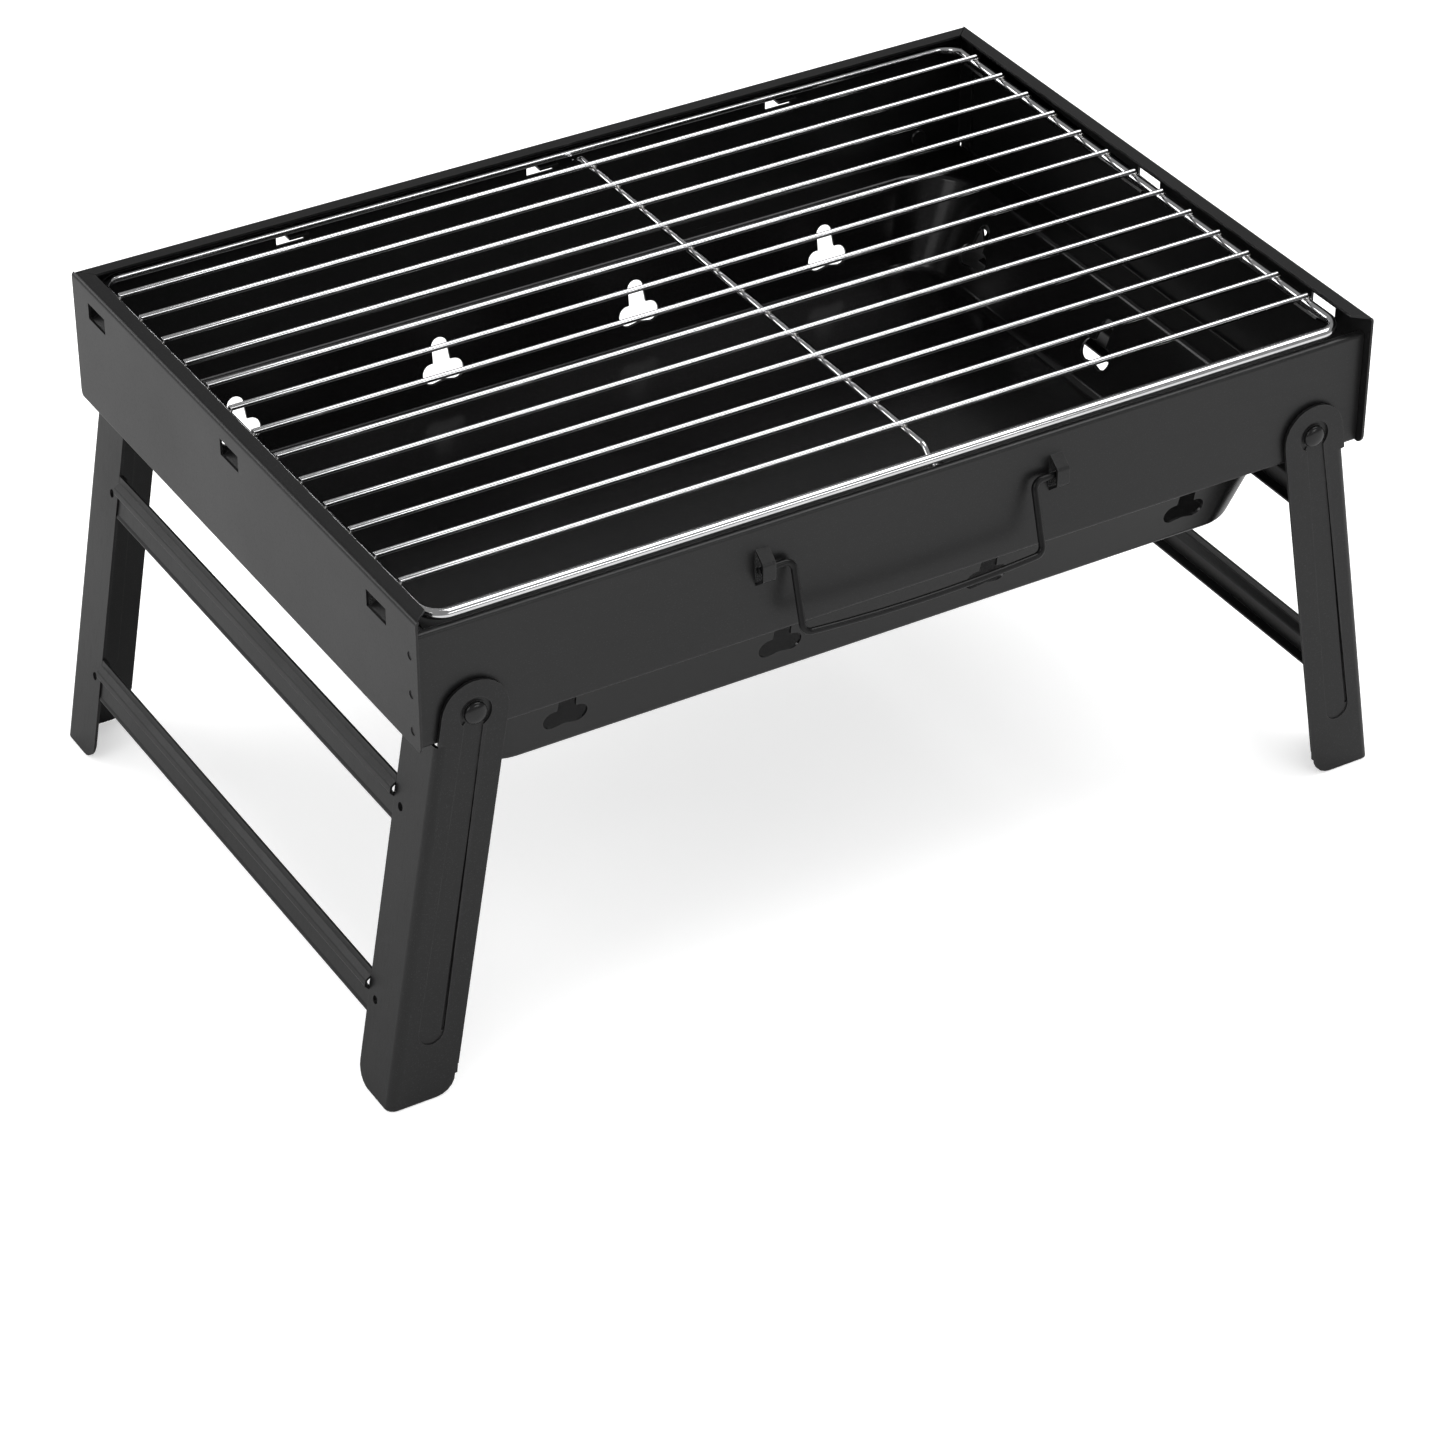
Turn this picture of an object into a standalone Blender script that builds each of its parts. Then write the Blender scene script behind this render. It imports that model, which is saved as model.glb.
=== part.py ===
"""Folding camp grill: sheet-steel case, charcoal pan, wire grate, two folding leg frames, handle."""
import math

import bmesh
import bpy
from mathutils import Matrix, Vector

MM = 0.001

# Case, in millimetres. X runs along the grill, -Y is the front, +Z is up, the feet stand on Z = 0.
SHEET = 1.0
GAP = 0.3
OVERRUN = 1.0
ROOT = 0.4
TAB_SIDE_GAP = 0.5
CASE_HALF_LENGTH = 205.0
CASE_FRONT_EDGE = -142.0
CASE_BACK_FACE = 142.0
FRONT_WALL_FACE = -138.4
CASE_TOP = 211.0
CASE_BOTTOM = 154.5
FRONT_WALL_TOP = 202.4
TOP_FLANGE = 6.8
BOTTOM_LEDGE = 13.0
BEND = 1.4
WALL_CORNER_RADIUS = 4.0
FLANGE_CHAMFER = 7.5
LEDGE_DEPTH = 12.4
LEDGE_STEP = 0.9
LEDGE_HEM = 3.0
RETURN_FLANGE = 9.0
RETURN_INSET = 4.0
HEM_RAMP = 0.6
LEDGE_END_TRIM = 6.0

# Slots and lanced tabs that carry the grate.
SIDE_SLOT_Y = (120.5, 5.0, -112.0)
SIDE_SLOT_WIDTH = 15.0
SIDE_SLOT_LOW = 197.0
SIDE_SLOT_HIGH = 204.0
SIDE_TAB_REACH = 8.6
TAB_TOP = 202.6
BACK_SLOT_X = (-112.3, 0.0, 112.3)
BACK_SLOT_WIDTH = 12.0
BACK_SLOT_LOW = 197.6
BACK_SLOT_MID = 201.4
BACK_SLOT_HIGH = 205.5
BACK_SLOT_LEG = 3.0
BACK_TAB_REACH = 5.0
DIMPLE_Z = (194.4, 178.1, 162.5)
DIMPLE_RADIUS = 1.7
DIMPLE_DEPTH = 0.35
DIMPLE_INSET = 5.2

# Leg pivots.
PIVOT_X = 182.0
PIVOT_Z = 164.5
RIVET_SHANK = 2.5
RIVET_HEAD = 4.5
RIVET_DOME = 2.2
RIVET_TAIL = 3.9
RIVET_TAIL_HEIGHT = 1.0

# Legs: u runs down the leg from the rivet, v outward across it.
LEG_SPLAY = math.radians(9.6)
LEG_SHEET = 1.2
LEG_STAND_OFF = 0.9
LEG_HALF_WIDTH = 13.5
LEG_FLANGE = 25.0
LEG_BEND = 3.0
LEG_HOLE = 3.0
LEG_EXTRA = 8.0
TONGUE = 3.0
TONGUE_INSET = 0.2
RECESS_DEPTH = 0.5
RECESS_RING = 6.6
RECESS_HALF = 5.3
RECESS_END = 136.0
FOOT_RADIUS = 8.0
FLANGE_TOP_DROP = 1.0

# Crossbars between the front and the back leg of a frame.
CROSSBAR_START = (37.3, 120.5)
CROSSBAR_WIDTH = 19.6
CROSSBAR_SHEET = 1.0
BEAD_CENTRE = 6.6
BEAD_HALF = 2.6
BEAD_HEIGHT = 2.0
BAR_SINK = 0.7
BAR_LIP = 4.5
BAR_RIM = 1.7
BAR_TAB_TRIM = 1.4
TAB_OVERLAP = 10.0
BOLT_HOLE_U = 10.8
BOLT_HOLE = 1.8

# Charcoal pan.
PAN_CENTRE_Y = 1.85
PAN_RIM_Z = 155.8
PAN_RINGS_OUTER = ((202.1, 137.2, 3.0, 155.8), (189.6, 126.2, 27.0, 155.8), (188.4, 125.1, 26.0, 153.9),
                   (172.4, 117.6, 20.0, 122.2), (170.0, 115.4, 18.0, 119.4), (165.5, 111.5, 15.0, 118.5))
PAN_RINGS_INNER = ((202.1, 137.2, 3.0, 156.8), (188.9, 125.6, 26.5, 156.8), (187.3, 124.1, 25.0, 154.5),
                   (171.3, 116.5, 19.0, 122.8), (169.2, 114.6, 17.0, 120.4), (165.5, 111.0, 14.0, 119.5))
VENT_PITCH = 91.0
VENT_LONG = (-1.5, -0.5, 0.5, 1.5)
VENT_SHORT = (-1.0, 0.0, 1.0)
VENT_SHIFT_BACK = -11.8
VENT_SHIFT_FRONT = 2.4
VENT_SHIFT_END = 4.3
VENT_BASE_Z = 128.3
VENT_LOBE = 4.2
VENT_LOBE_REACH = 5.0
VENT_STEM = 3.9
VENT_HEAD = 3.8
VENT_HEAD_RISE = 14.5
VENT_DIP = 0.9
VENT_CUT_LONG = (100.0, 134.0)
VENT_CUT_END = (155.0, 196.0)

# Grate.
FRAME_WIRE = 2.0
FRAME_X = 196.0
FRAME_FRONT = -134.2
FRAME_BACK = 138.6
FRAME_Z = 205.0
FRAME_CORNER = 9.0
ROD_WIRE = 1.15
ROD_COUNT = 13
ROD_FIRST_Y = 119.4
ROD_PITCH = 19.3
ROD_END_X = 195.8
ROD_TIP = 0.4
CROSS_X = 13.0
CROSS_WIRE = 1.25
CROSS_DROP = 3.7
CROSS_FRONT = -134.9
CROSS_BACK = 139.4
CROSS_BEND = 5.0
CROSS_EASE = 1.2
NOTCH_HALF = 3.5

# Bail handle and its bridges.
STRAP_X = 63.4
STRAP_WIDTH = 5.4
STRAP_LOW = 177.0
STRAP_HIGH = 194.0
STRAP_INNER = 4.3
STRAP_RAMP = 5.2
STRAP_OPENING = 2.2
HANDLE_WIRE = 1.35
HANDLE_PIVOT_Y = -140.9
HANDLE_PIVOT_Z = 185.8
HANDLE_END_X = 66.9
HANDLE_BOW = 1.8
BOW_STEPS = 4
HANDLE_LEG_X = 52.0
HANDLE_DROP = 28.5
HANDLE_BEND = 3.6
HANDLE_REST = math.radians(16.5)

WIRE_SIDES = 10
ARC_STEPS = 7
BEND_STEPS = 4


def clear_scene():
    for old in list(bpy.data.objects):
        bpy.data.objects.remove(old, do_unlink=True)


def steel(name, colour, metallic, roughness):
    mat = bpy.data.materials.new(name)
    mat.use_nodes = True
    shader = mat.node_tree.nodes["Principled BSDF"]
    shader.inputs["Base Color"].default_value = (*colour, 1.0)
    shader.inputs["Metallic"].default_value = metallic
    shader.inputs["Roughness"].default_value = roughness
    return mat


def object_from_bmesh(name, bm, mat=None, smooth=False):
    bmesh.ops.remove_doubles(bm, verts=bm.verts, dist=1e-7)
    bmesh.ops.recalc_face_normals(bm, faces=bm.faces)
    mesh = bpy.data.meshes.new(name)
    bm.to_mesh(mesh)
    bm.free()
    obj = bpy.data.objects.new(name, mesh)
    bpy.context.collection.objects.link(obj)
    if mat is not None:
        mesh.materials.append(mat)
    if smooth:
        mesh.shade_smooth()
    return obj


def prism(name, outline, to_world, depth, mat=None):
    """Closed prism: a 2D outline (mm) mapped by to_world(a, b, c), with c at each end of depth."""
    bm = bmesh.new()
    low = [bm.verts.new(Vector(to_world(a, b, depth[0])) * MM) for a, b in outline]
    high = [bm.verts.new(Vector(to_world(a, b, depth[1])) * MM) for a, b in outline]
    bm.faces.new(low)
    bm.faces.new(list(reversed(high)))
    count = len(outline)
    for i in range(count):
        j = (i + 1) % count
        bm.faces.new((low[j], low[i], high[i], high[j]))
    return object_from_bmesh(name, bm, mat)


def along_x(a, b, c):
    return (c, a, b)


def along_y(a, b, c):
    return (a, c, b)


def along_z(a, b, c):
    return (a, b, c)


def box(name, low, high):
    outline = ((low[0], low[1]), (high[0], low[1]), (high[0], high[1]), (low[0], high[1]))
    return prism(name, outline, along_z, (low[2], high[2]))


def arc(cx, cy, radius, start, end, steps):
    points = []
    for i in range(steps + 1):
        angle = math.radians(start + (end - start) * i / steps)
        points.append((cx + radius * math.cos(angle), cy + radius * math.sin(angle)))
    return points


def circle(cx, cy, radius, steps):
    return arc(cx, cy, radius, 0.0, 360.0 * (steps - 1) / steps, steps - 1)


def rounded_path(points, radius, steps=BEND_STEPS):
    """Round every inner corner of an open 2D path."""
    path = [Vector(points[0])]
    for before, corner, after in zip(points, points[1:], points[2:]):
        before, corner, after = Vector(before), Vector(corner), Vector(after)
        into = (before - corner).normalized()
        out = (after - corner).normalized()
        half = into.angle(out) / 2.0
        cut = min(radius / math.tan(half), (before - corner).length * 0.45, (after - corner).length * 0.45)
        turn = cut * math.tan(half)
        centre = corner + (into + out).normalized() * (turn / math.sin(half))
        start = corner + into * cut - centre
        swing = start.angle_signed(corner + out * cut - centre)
        for i in range(steps + 1):
            step = -swing * i / steps
            path.append(centre + Vector((start.x * math.cos(step) - start.y * math.sin(step),
                                         start.x * math.sin(step) + start.y * math.cos(step))))
    path.append(Vector(points[-1]))
    return path


def sheet_outline(points, thickness, radius):
    """Outline of a bent sheet from the middle line of its section."""
    path = rounded_path(points, radius)
    left = []
    right = []
    for i, point in enumerate(path):
        back = (point - path[i - 1]).normalized() if i else (path[1] - point).normalized()
        ahead = (path[i + 1] - point).normalized() if i < len(path) - 1 else back
        tangent = (back + ahead).normalized()
        normal = Vector((-tangent.y, tangent.x)) * (thickness / 2.0 / max(tangent.dot(back), 0.5))
        left.append(tuple(point + normal))
        right.append(tuple(point - normal))
    return left + right[::-1]


def apply_boolean(target, tools, operation):
    for tool in tools:
        mod = target.modifiers.new(operation.lower(), "BOOLEAN")
        mod.operation = operation
        mod.solver = "EXACT"
        mod.object = tool
    graph = bpy.context.evaluated_depsgraph_get()
    mesh = bpy.data.meshes.new_from_object(target.evaluated_get(graph))
    target.modifiers.clear()
    old = target.data
    target.data = mesh
    bpy.data.meshes.remove(old)
    for tool in tools:
        bpy.data.objects.remove(tool, do_unlink=True)
    bm = bmesh.new()
    bm.from_mesh(target.data)
    bmesh.ops.remove_doubles(bm, verts=bm.verts, dist=2e-6)
    bmesh.ops.dissolve_limit(bm, angle_limit=math.radians(0.4), verts=[], edges=bm.edges)
    bm.to_mesh(target.data)
    bm.free()
    return target


def cut(target, *tools):
    return apply_boolean(target, tools, "DIFFERENCE")


def join(target, *tools):
    return apply_boolean(target, tools, "UNION")


def keep(target, tool):
    return apply_boolean(target, (tool,), "INTERSECT")


def finish(obj, name, mat):
    obj.name = name
    obj.data.name = name
    obj.data.materials.clear()
    obj.data.materials.append(mat)
    for face in obj.data.polygons:
        face.material_index = 0
    return obj


def place_origin(obj, point):
    """Move an object's origin to a world point without moving its mesh."""
    target = Vector(point) * MM
    obj.data.transform(Matrix.Translation(-target))
    obj.location = target


def wire(name, points, radius, mat, closed=False, sides=WIRE_SIDES):
    """Round wire along a path of world points in mm, with slightly eased flat ends."""
    bm = bmesh.new()
    path = [Vector(p) for p in points]
    count = len(path)
    rings = []
    normal = None
    for i, point in enumerate(path):
        ahead = path[(i + 1) % count] if closed or i < count - 1 else point
        back = path[i - 1] if closed or i else point
        tangent = ((ahead - point).normalized() + (point - back).normalized()).normalized()
        if normal is None:
            guide = Vector((0, 0, 1)) if abs(tangent.z) < 0.9 else Vector((0, 1, 0))
            normal = (guide - tangent * guide.dot(tangent)).normalized()
        else:
            normal = (normal - tangent * normal.dot(tangent)).normalized()
        side = tangent.cross(normal)
        limb = (ahead - point).normalized() if i < count - 1 or closed else (point - back).normalized()
        spread = 1.0 / max(tangent.dot(limb), 0.7)
        bend = (point - back).normalized().cross((ahead - point).normalized())
        ring = []
        for k in range(sides):
            angle = 2.0 * math.pi * (k + 0.5) / sides
            offset = (normal * math.cos(angle) + side * math.sin(angle)) * radius
            if bend.length > 1e-6:
                outward = bend.normalized().cross(tangent)
                offset += outward * outward.dot(offset) * (spread - 1.0)
            ring.append(bm.verts.new((point + offset) * MM))
        rings.append(ring)
    spans = count if closed else count - 1
    for i in range(spans):
        first, second = rings[i], rings[(i + 1) % count]
        for k in range(sides):
            m = (k + 1) % sides
            bm.faces.new((first[k], first[m], second[m], second[k]))
    if not closed:
        bm.faces.new(rings[0][::-1])
        bm.faces.new(rings[-1])
    return object_from_bmesh(name, bm, mat, smooth=True)


def eased_rod(name, start, end, radius, mat):
    """Straight wire with a small bevel at both cut ends."""
    bm = bmesh.new()
    start, end = Vector(start), Vector(end)
    axis = (end - start).normalized()
    guide = Vector((0, 0, 1)) if abs(axis.z) < 0.9 else Vector((0, 1, 0))
    side = axis.cross(guide).normalized()
    up = side.cross(axis)
    stations = ((start, radius - ROD_TIP), (start + axis * ROD_TIP, radius),
                (end - axis * ROD_TIP, radius), (end, radius - ROD_TIP))
    rings = []
    for centre, size in stations:
        ring = []
        for k in range(WIRE_SIDES):
            angle = 2.0 * math.pi * (k + 0.5) / WIRE_SIDES
            ring.append(bm.verts.new((centre + (side * math.cos(angle) + up * math.sin(angle)) * size) * MM))
        rings.append(ring)
    for first, second in zip(rings, rings[1:]):
        for k in range(WIRE_SIDES):
            m = (k + 1) % WIRE_SIDES
            bm.faces.new((first[k], first[m], second[m], second[k]))
    bm.faces.new(rings[0][::-1])
    bm.faces.new(rings[-1])
    return object_from_bmesh(name, bm, mat, smooth=True)


def end_wall(side, mat):
    """C-section end wall; side is -1 for the left wall and 1 for the right."""
    middle = CASE_HALF_LENGTH - SHEET / 2.0
    top = CASE_TOP - SHEET / 2.0
    bottom = CASE_BOTTOM + SHEET / 2.0
    section = ((CASE_HALF_LENGTH - TOP_FLANGE, top), (middle, top), (middle, bottom),
               (CASE_HALF_LENGTH - BOTTOM_LEDGE, bottom))
    outline = [(side * x, z) for x, z in sheet_outline(section, SHEET, BEND)]
    wall = prism("wall", outline, along_y, (CASE_FRONT_EDGE, CASE_BACK_FACE))
    low, high = CASE_FRONT_EDGE, CASE_BACK_FACE
    r = WALL_CORNER_RADIUS
    face = [(low, CASE_TOP + OVERRUN), (low, CASE_BOTTOM + r)]
    face += arc(low + r, CASE_BOTTOM + r, r, 180, 270, 4)
    face += arc(high - r, CASE_BOTTOM + r, r, 270, 360, 4)
    face += [(high, CASE_TOP + OVERRUN)]
    keep(wall, prism("outline", face, along_x, (-CASE_HALF_LENGTH - OVERRUN, CASE_HALF_LENGTH + OVERRUN)))
    inner = CASE_HALF_LENGTH - SHEET
    far = CASE_HALF_LENGTH - BOTTOM_LEDGE - OVERRUN
    front = FRONT_WALL_FACE + SHEET

    def flat(points, z):
        return prism("mitre", [(side * x, y) for x, y in points], along_z, z)

    reach = inner - far
    top_mitre = flat(((inner, high + 1), (inner, high - SHEET - GAP), (far, high - SHEET - GAP - reach),
                      (far, high + 1)), (CASE_TOP - 2 * SHEET, CASE_TOP + OVERRUN))
    low_mitre = flat(((inner, high + 1), (inner, high - SHEET - GAP), (far, high - SHEET - GAP - reach),
                      (far, high + 1)), (CASE_BOTTOM - OVERRUN, CASE_BOTTOM + 2 * SHEET))
    front_mitre = flat(((inner, low - 1), (inner, front + GAP), (far, front + GAP + reach), (far, low - 1)),
                       (CASE_BOTTOM - OVERRUN, CASE_BOTTOM + 2 * SHEET))
    chamfer = flat(((inner - 0.5, low - 1), (inner - 0.5, low + 1.0), (far, low + 1.0 + FLANGE_CHAMFER * 1.5),
                    (far, low - 1)), (CASE_TOP - 2 * SHEET, CASE_TOP + OVERRUN))
    cut(wall, top_mitre, low_mitre, front_mitre, chamfer)
    slots = []
    tabs = []
    for y in SIDE_SLOT_Y:
        half = SIDE_SLOT_WIDTH / 2.0
        x_pair = sorted((side * (inner - 0.6), side * (CASE_HALF_LENGTH + 1)))
        slots.append(box("slot", (x_pair[0], y - half, SIDE_SLOT_LOW), (x_pair[1], y + half, SIDE_SLOT_HIGH)))
        root_z = SIDE_SLOT_LOW - SHEET
        tip = Vector((inner - SIDE_TAB_REACH, TAB_TOP - SHEET * 0.8))
        root = Vector((inner + ROOT, root_z))
        along = (tip - root).normalized()
        across = Vector((-along.y, along.x)) * (-SHEET / 2.0)
        tab = [root - across, tip - across, tip + across, root + across]
        tabs.append(prism("tab", [(side * p.x, p.y) for p in tab], along_y,
                          (y - half + TAB_SIDE_GAP, y + half - TAB_SIDE_GAP)))
    cut(wall, *slots)
    join(wall, *tabs)
    dimples = []
    for z in DIMPLE_Z:
        depth = sorted((side * (CASE_HALF_LENGTH - DIMPLE_DEPTH), side * (CASE_HALF_LENGTH + 1)))
        spot = circle(CASE_FRONT_EDGE + DIMPLE_INSET, z, DIMPLE_RADIUS, 10)
        dimples.append(prism("dimple", spot, along_x, depth))
    cut(wall, *dimples)
    return finish(wall, "case_left_wall" if side < 0 else "case_right_wall", mat)


def return_flanges(face_y, inward, z_low, z_high):
    """Short side flanges that lie flat inside the end walls."""
    pieces = []
    outer = CASE_HALF_LENGTH - SHEET - GAP
    for side in (-1, 1):
        x = sorted((side * outer, side * (outer - SHEET)))
        y = sorted((face_y, face_y + inward * RETURN_FLANGE))
        pieces.append(box("return", (x[0], y[0], z_low), (x[1], y[1], z_high)))
    return pieces


def front_wall(mat):
    face = FRONT_WALL_FACE + SHEET / 2.0
    hem = FRONT_WALL_TOP - SHEET / 2.0
    ledge = hem - LEDGE_STEP
    section = ((face + LEDGE_DEPTH, ledge), (face + LEDGE_HEM + HEM_RAMP, ledge),
               (face + LEDGE_HEM - HEM_RAMP, hem),
               (face, hem), (face, CASE_BOTTOM + SHEET / 2.0),
               (FRONT_WALL_FACE + BOTTOM_LEDGE, CASE_BOTTOM + SHEET / 2.0))
    half = CASE_HALF_LENGTH - SHEET - GAP
    wall = prism("wall", sheet_outline(section, SHEET, BEND), along_x, (-half, half))
    inner = FRONT_WALL_FACE + SHEET
    far = FRONT_WALL_FACE + BOTTOM_LEDGE + OVERRUN
    tools = []
    for side in (-1, 1):
        mitre = ((side * (half + 1), inner), (side * half, inner), (side * (half - far + inner), far),
                 (side * (half + 1), far))
        tools.append(prism("mitre", mitre, along_z, (CASE_BOTTOM - OVERRUN, CASE_BOTTOM + 2 * SHEET)))
        trim = (side * (half - LEDGE_END_TRIM), side * (half + 1))
        tools.append(box("ledge_end", (min(trim), inner + LEDGE_HEM, hem - 3),
                         (max(trim), far + 2, hem + 2)))
        spot = circle(side * PIVOT_X, PIVOT_Z, RIVET_SHANK + GAP, 14)
        tools.append(prism("rivet_hole", spot, along_y, (FRONT_WALL_FACE - 1, inner + 1)))
        strap = sorted((side * (STRAP_X - STRAP_WIDTH / 2.0), side * (STRAP_X + STRAP_WIDTH / 2.0)))
        tools.append(box("strap_slot", (strap[0] - ROOT, FRONT_WALL_FACE - 1, STRAP_LOW + STRAP_OPENING),
                         (strap[1] + ROOT, inner + 1, STRAP_HIGH - STRAP_OPENING)))
    tools.append(box("notch", (CROSS_X - NOTCH_HALF, inner + LEDGE_HEM - 1.0, hem - 4),
                     (CROSS_X + NOTCH_HALF, far + 2, hem + 2)))
    cut(wall, *tools)
    extras = return_flanges(inner - ROOT, 1, CASE_BOTTOM + RETURN_INSET, hem - RETURN_INSET)
    for side in (-1, 1):
        out = FRONT_WALL_FACE - STRAP_INNER - SHEET / 2.0
        path = ((face, STRAP_LOW + SHEET), (out, STRAP_LOW + STRAP_RAMP), (out, STRAP_HIGH - STRAP_RAMP),
                (face, STRAP_HIGH - SHEET))
        strap = sorted((side * (STRAP_X - STRAP_WIDTH / 2.0), side * (STRAP_X + STRAP_WIDTH / 2.0)))
        extras.append(prism("strap", sheet_outline(path, SHEET, BEND), along_x, strap))
    join(wall, *extras)
    return finish(wall, "case_front_wall", mat)


def back_wall(mat):
    face = CASE_BACK_FACE - SHEET / 2.0
    top = CASE_TOP - SHEET / 2.0
    bottom = CASE_BOTTOM + SHEET / 2.0
    section = ((CASE_BACK_FACE - TOP_FLANGE, top), (face, top), (face, bottom),
               (CASE_BACK_FACE - BOTTOM_LEDGE, bottom))
    half = CASE_HALF_LENGTH - SHEET - GAP
    wall = prism("wall", sheet_outline(section, SHEET, BEND), along_x, (-half, half))
    inner = CASE_BACK_FACE - SHEET
    far = CASE_BACK_FACE - BOTTOM_LEDGE - OVERRUN
    tools = []
    for side in (-1, 1):
        mitre = ((side * (half + 1), inner), (side * half, inner), (side * (half - inner + far), far),
                 (side * (half + 1), far))
        tools.append(prism("mitre", mitre, along_z, (CASE_BOTTOM - OVERRUN, CASE_BOTTOM + 2 * SHEET)))
        tools.append(prism("mitre", mitre, along_z, (CASE_TOP - 2 * SHEET, CASE_TOP + OVERRUN)))
        spot = circle(side * PIVOT_X, PIVOT_Z, RIVET_SHANK + GAP, 14)
        tools.append(prism("rivet_hole", spot, along_y, (inner - 1, CASE_BACK_FACE + 1)))
    extras = return_flanges(inner + ROOT, -1, CASE_BOTTOM + RETURN_INSET, CASE_TOP - RETURN_INSET)
    for x in BACK_SLOT_X:
        left = x - BACK_SLOT_WIDTH / 2.0
        right = x + BACK_SLOT_WIDTH / 2.0
        shape = ((left, BACK_SLOT_LOW), (right, BACK_SLOT_LOW), (right, BACK_SLOT_MID),
                 (left + BACK_SLOT_LEG, BACK_SLOT_MID), (left + BACK_SLOT_LEG * 0.6, BACK_SLOT_HIGH),
                 (left, BACK_SLOT_HIGH))
        tools.append(prism("slot", shape, along_y, (inner - 1, CASE_BACK_FACE + 1)))
        extras.append(box("tab", (left + BACK_SLOT_LEG + ROOT, inner - BACK_TAB_REACH, TAB_TOP - SHEET),
                          (right, inner + ROOT, TAB_TOP)))
    cut(wall, *tools)
    join(wall, *extras)
    return finish(wall, "case_back_wall", mat)


def rounded_rectangle(half_x, half_y, radius, steps=6):
    points = []
    for sx, sy, start in ((1, 1, 0), (-1, 1, 90), (-1, -1, 180), (1, -1, 270)):
        points += arc(sx * (half_x - radius), sy * (half_y - radius), radius, start, start + 90, steps)
    return points


def vent_outline():
    """Outline of one air vent: a two-lobed base, a stem and a round head."""
    lobe = VENT_LOBE
    points = arc(-VENT_LOBE_REACH, lobe, lobe, 270, 90, 5)
    points += [(-VENT_STEM, 2 * lobe)]
    points += arc(0, VENT_HEAD_RISE, VENT_HEAD, 200, -20, 8)
    points += [(VENT_STEM, 2 * lobe)]
    points += arc(VENT_LOBE_REACH, lobe, lobe, 90, -90, 5)
    points += [(0.0, VENT_DIP)]
    return points


def charcoal_pan(mat):
    bm = bmesh.new()
    rings = []
    for hx, hy, radius, z in PAN_RINGS_OUTER + PAN_RINGS_INNER:
        loop = rounded_rectangle(hx, hy, radius)
        ring = [bm.verts.new(Vector((x, y + PAN_CENTRE_Y, z)) * MM) for x, y in loop]
        rings.append(ring)
    outer = rings[:len(PAN_RINGS_OUTER)]
    inner = rings[len(PAN_RINGS_OUTER):]

    def band(first, second, flip):
        count = len(first)
        for k in range(count):
            m = (k + 1) % count
            face = (first[k], first[m], second[m], second[k])
            bm.faces.new(face[::-1] if flip else face)

    for first, second in zip(outer, outer[1:]):
        band(first, second, False)
    for first, second in zip(inner, inner[1:]):
        band(first, second, True)
    band(inner[0], outer[0], False)
    bm.faces.new(outer[-1])
    bm.faces.new(inner[-1][::-1])
    pan = object_from_bmesh("pan", bm)
    shape = vent_outline()
    tools = []
    for sign in (-1, 1):
        shift = VENT_SHIFT_BACK if sign > 0 else VENT_SHIFT_FRONT
        reach = sorted(sign * y for y in VENT_CUT_LONG)
        for step in VENT_LONG:
            outline = [(shift + step * VENT_PITCH + s, VENT_BASE_Z + h) for s, h in shape]
            tools.append(prism("vent", outline, along_y, reach))
        shift = PAN_CENTRE_Y - sign * VENT_SHIFT_END
        reach = sorted(sign * x for x in VENT_CUT_END)
        for step in VENT_SHORT:
            outline = [(shift + step * VENT_PITCH + s, VENT_BASE_Z + h) for s, h in shape]
            tools.append(prism("vent", outline, along_x, reach))
    cut(pan, *tools)
    place_origin(pan, (0.0, PAN_CENTRE_Y, PAN_RIM_Z))
    return finish(pan, "charcoal_pan", mat)


def leg_frame(side):
    """Return a mapping (u, v, y) -> world for a leg frame at rest."""
    down = (side * math.sin(LEG_SPLAY), -math.cos(LEG_SPLAY))
    outward = (side * math.cos(LEG_SPLAY), math.sin(LEG_SPLAY))

    def to_world(u, v, y):
        return (side * PIVOT_X + down[0] * u + outward[0] * v, y, PIVOT_Z + down[1] * u + outward[1] * v)

    return to_world


def leg_planes(front):
    """Wall face, inner face and outer face of a leg, and the direction towards the case."""
    wall = FRONT_WALL_FACE if front else CASE_BACK_FACE
    out = -1.0 if front else 1.0
    return wall, wall + out * LEG_STAND_OFF, wall + out * (LEG_STAND_OFF + LEG_SHEET), -out


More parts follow.
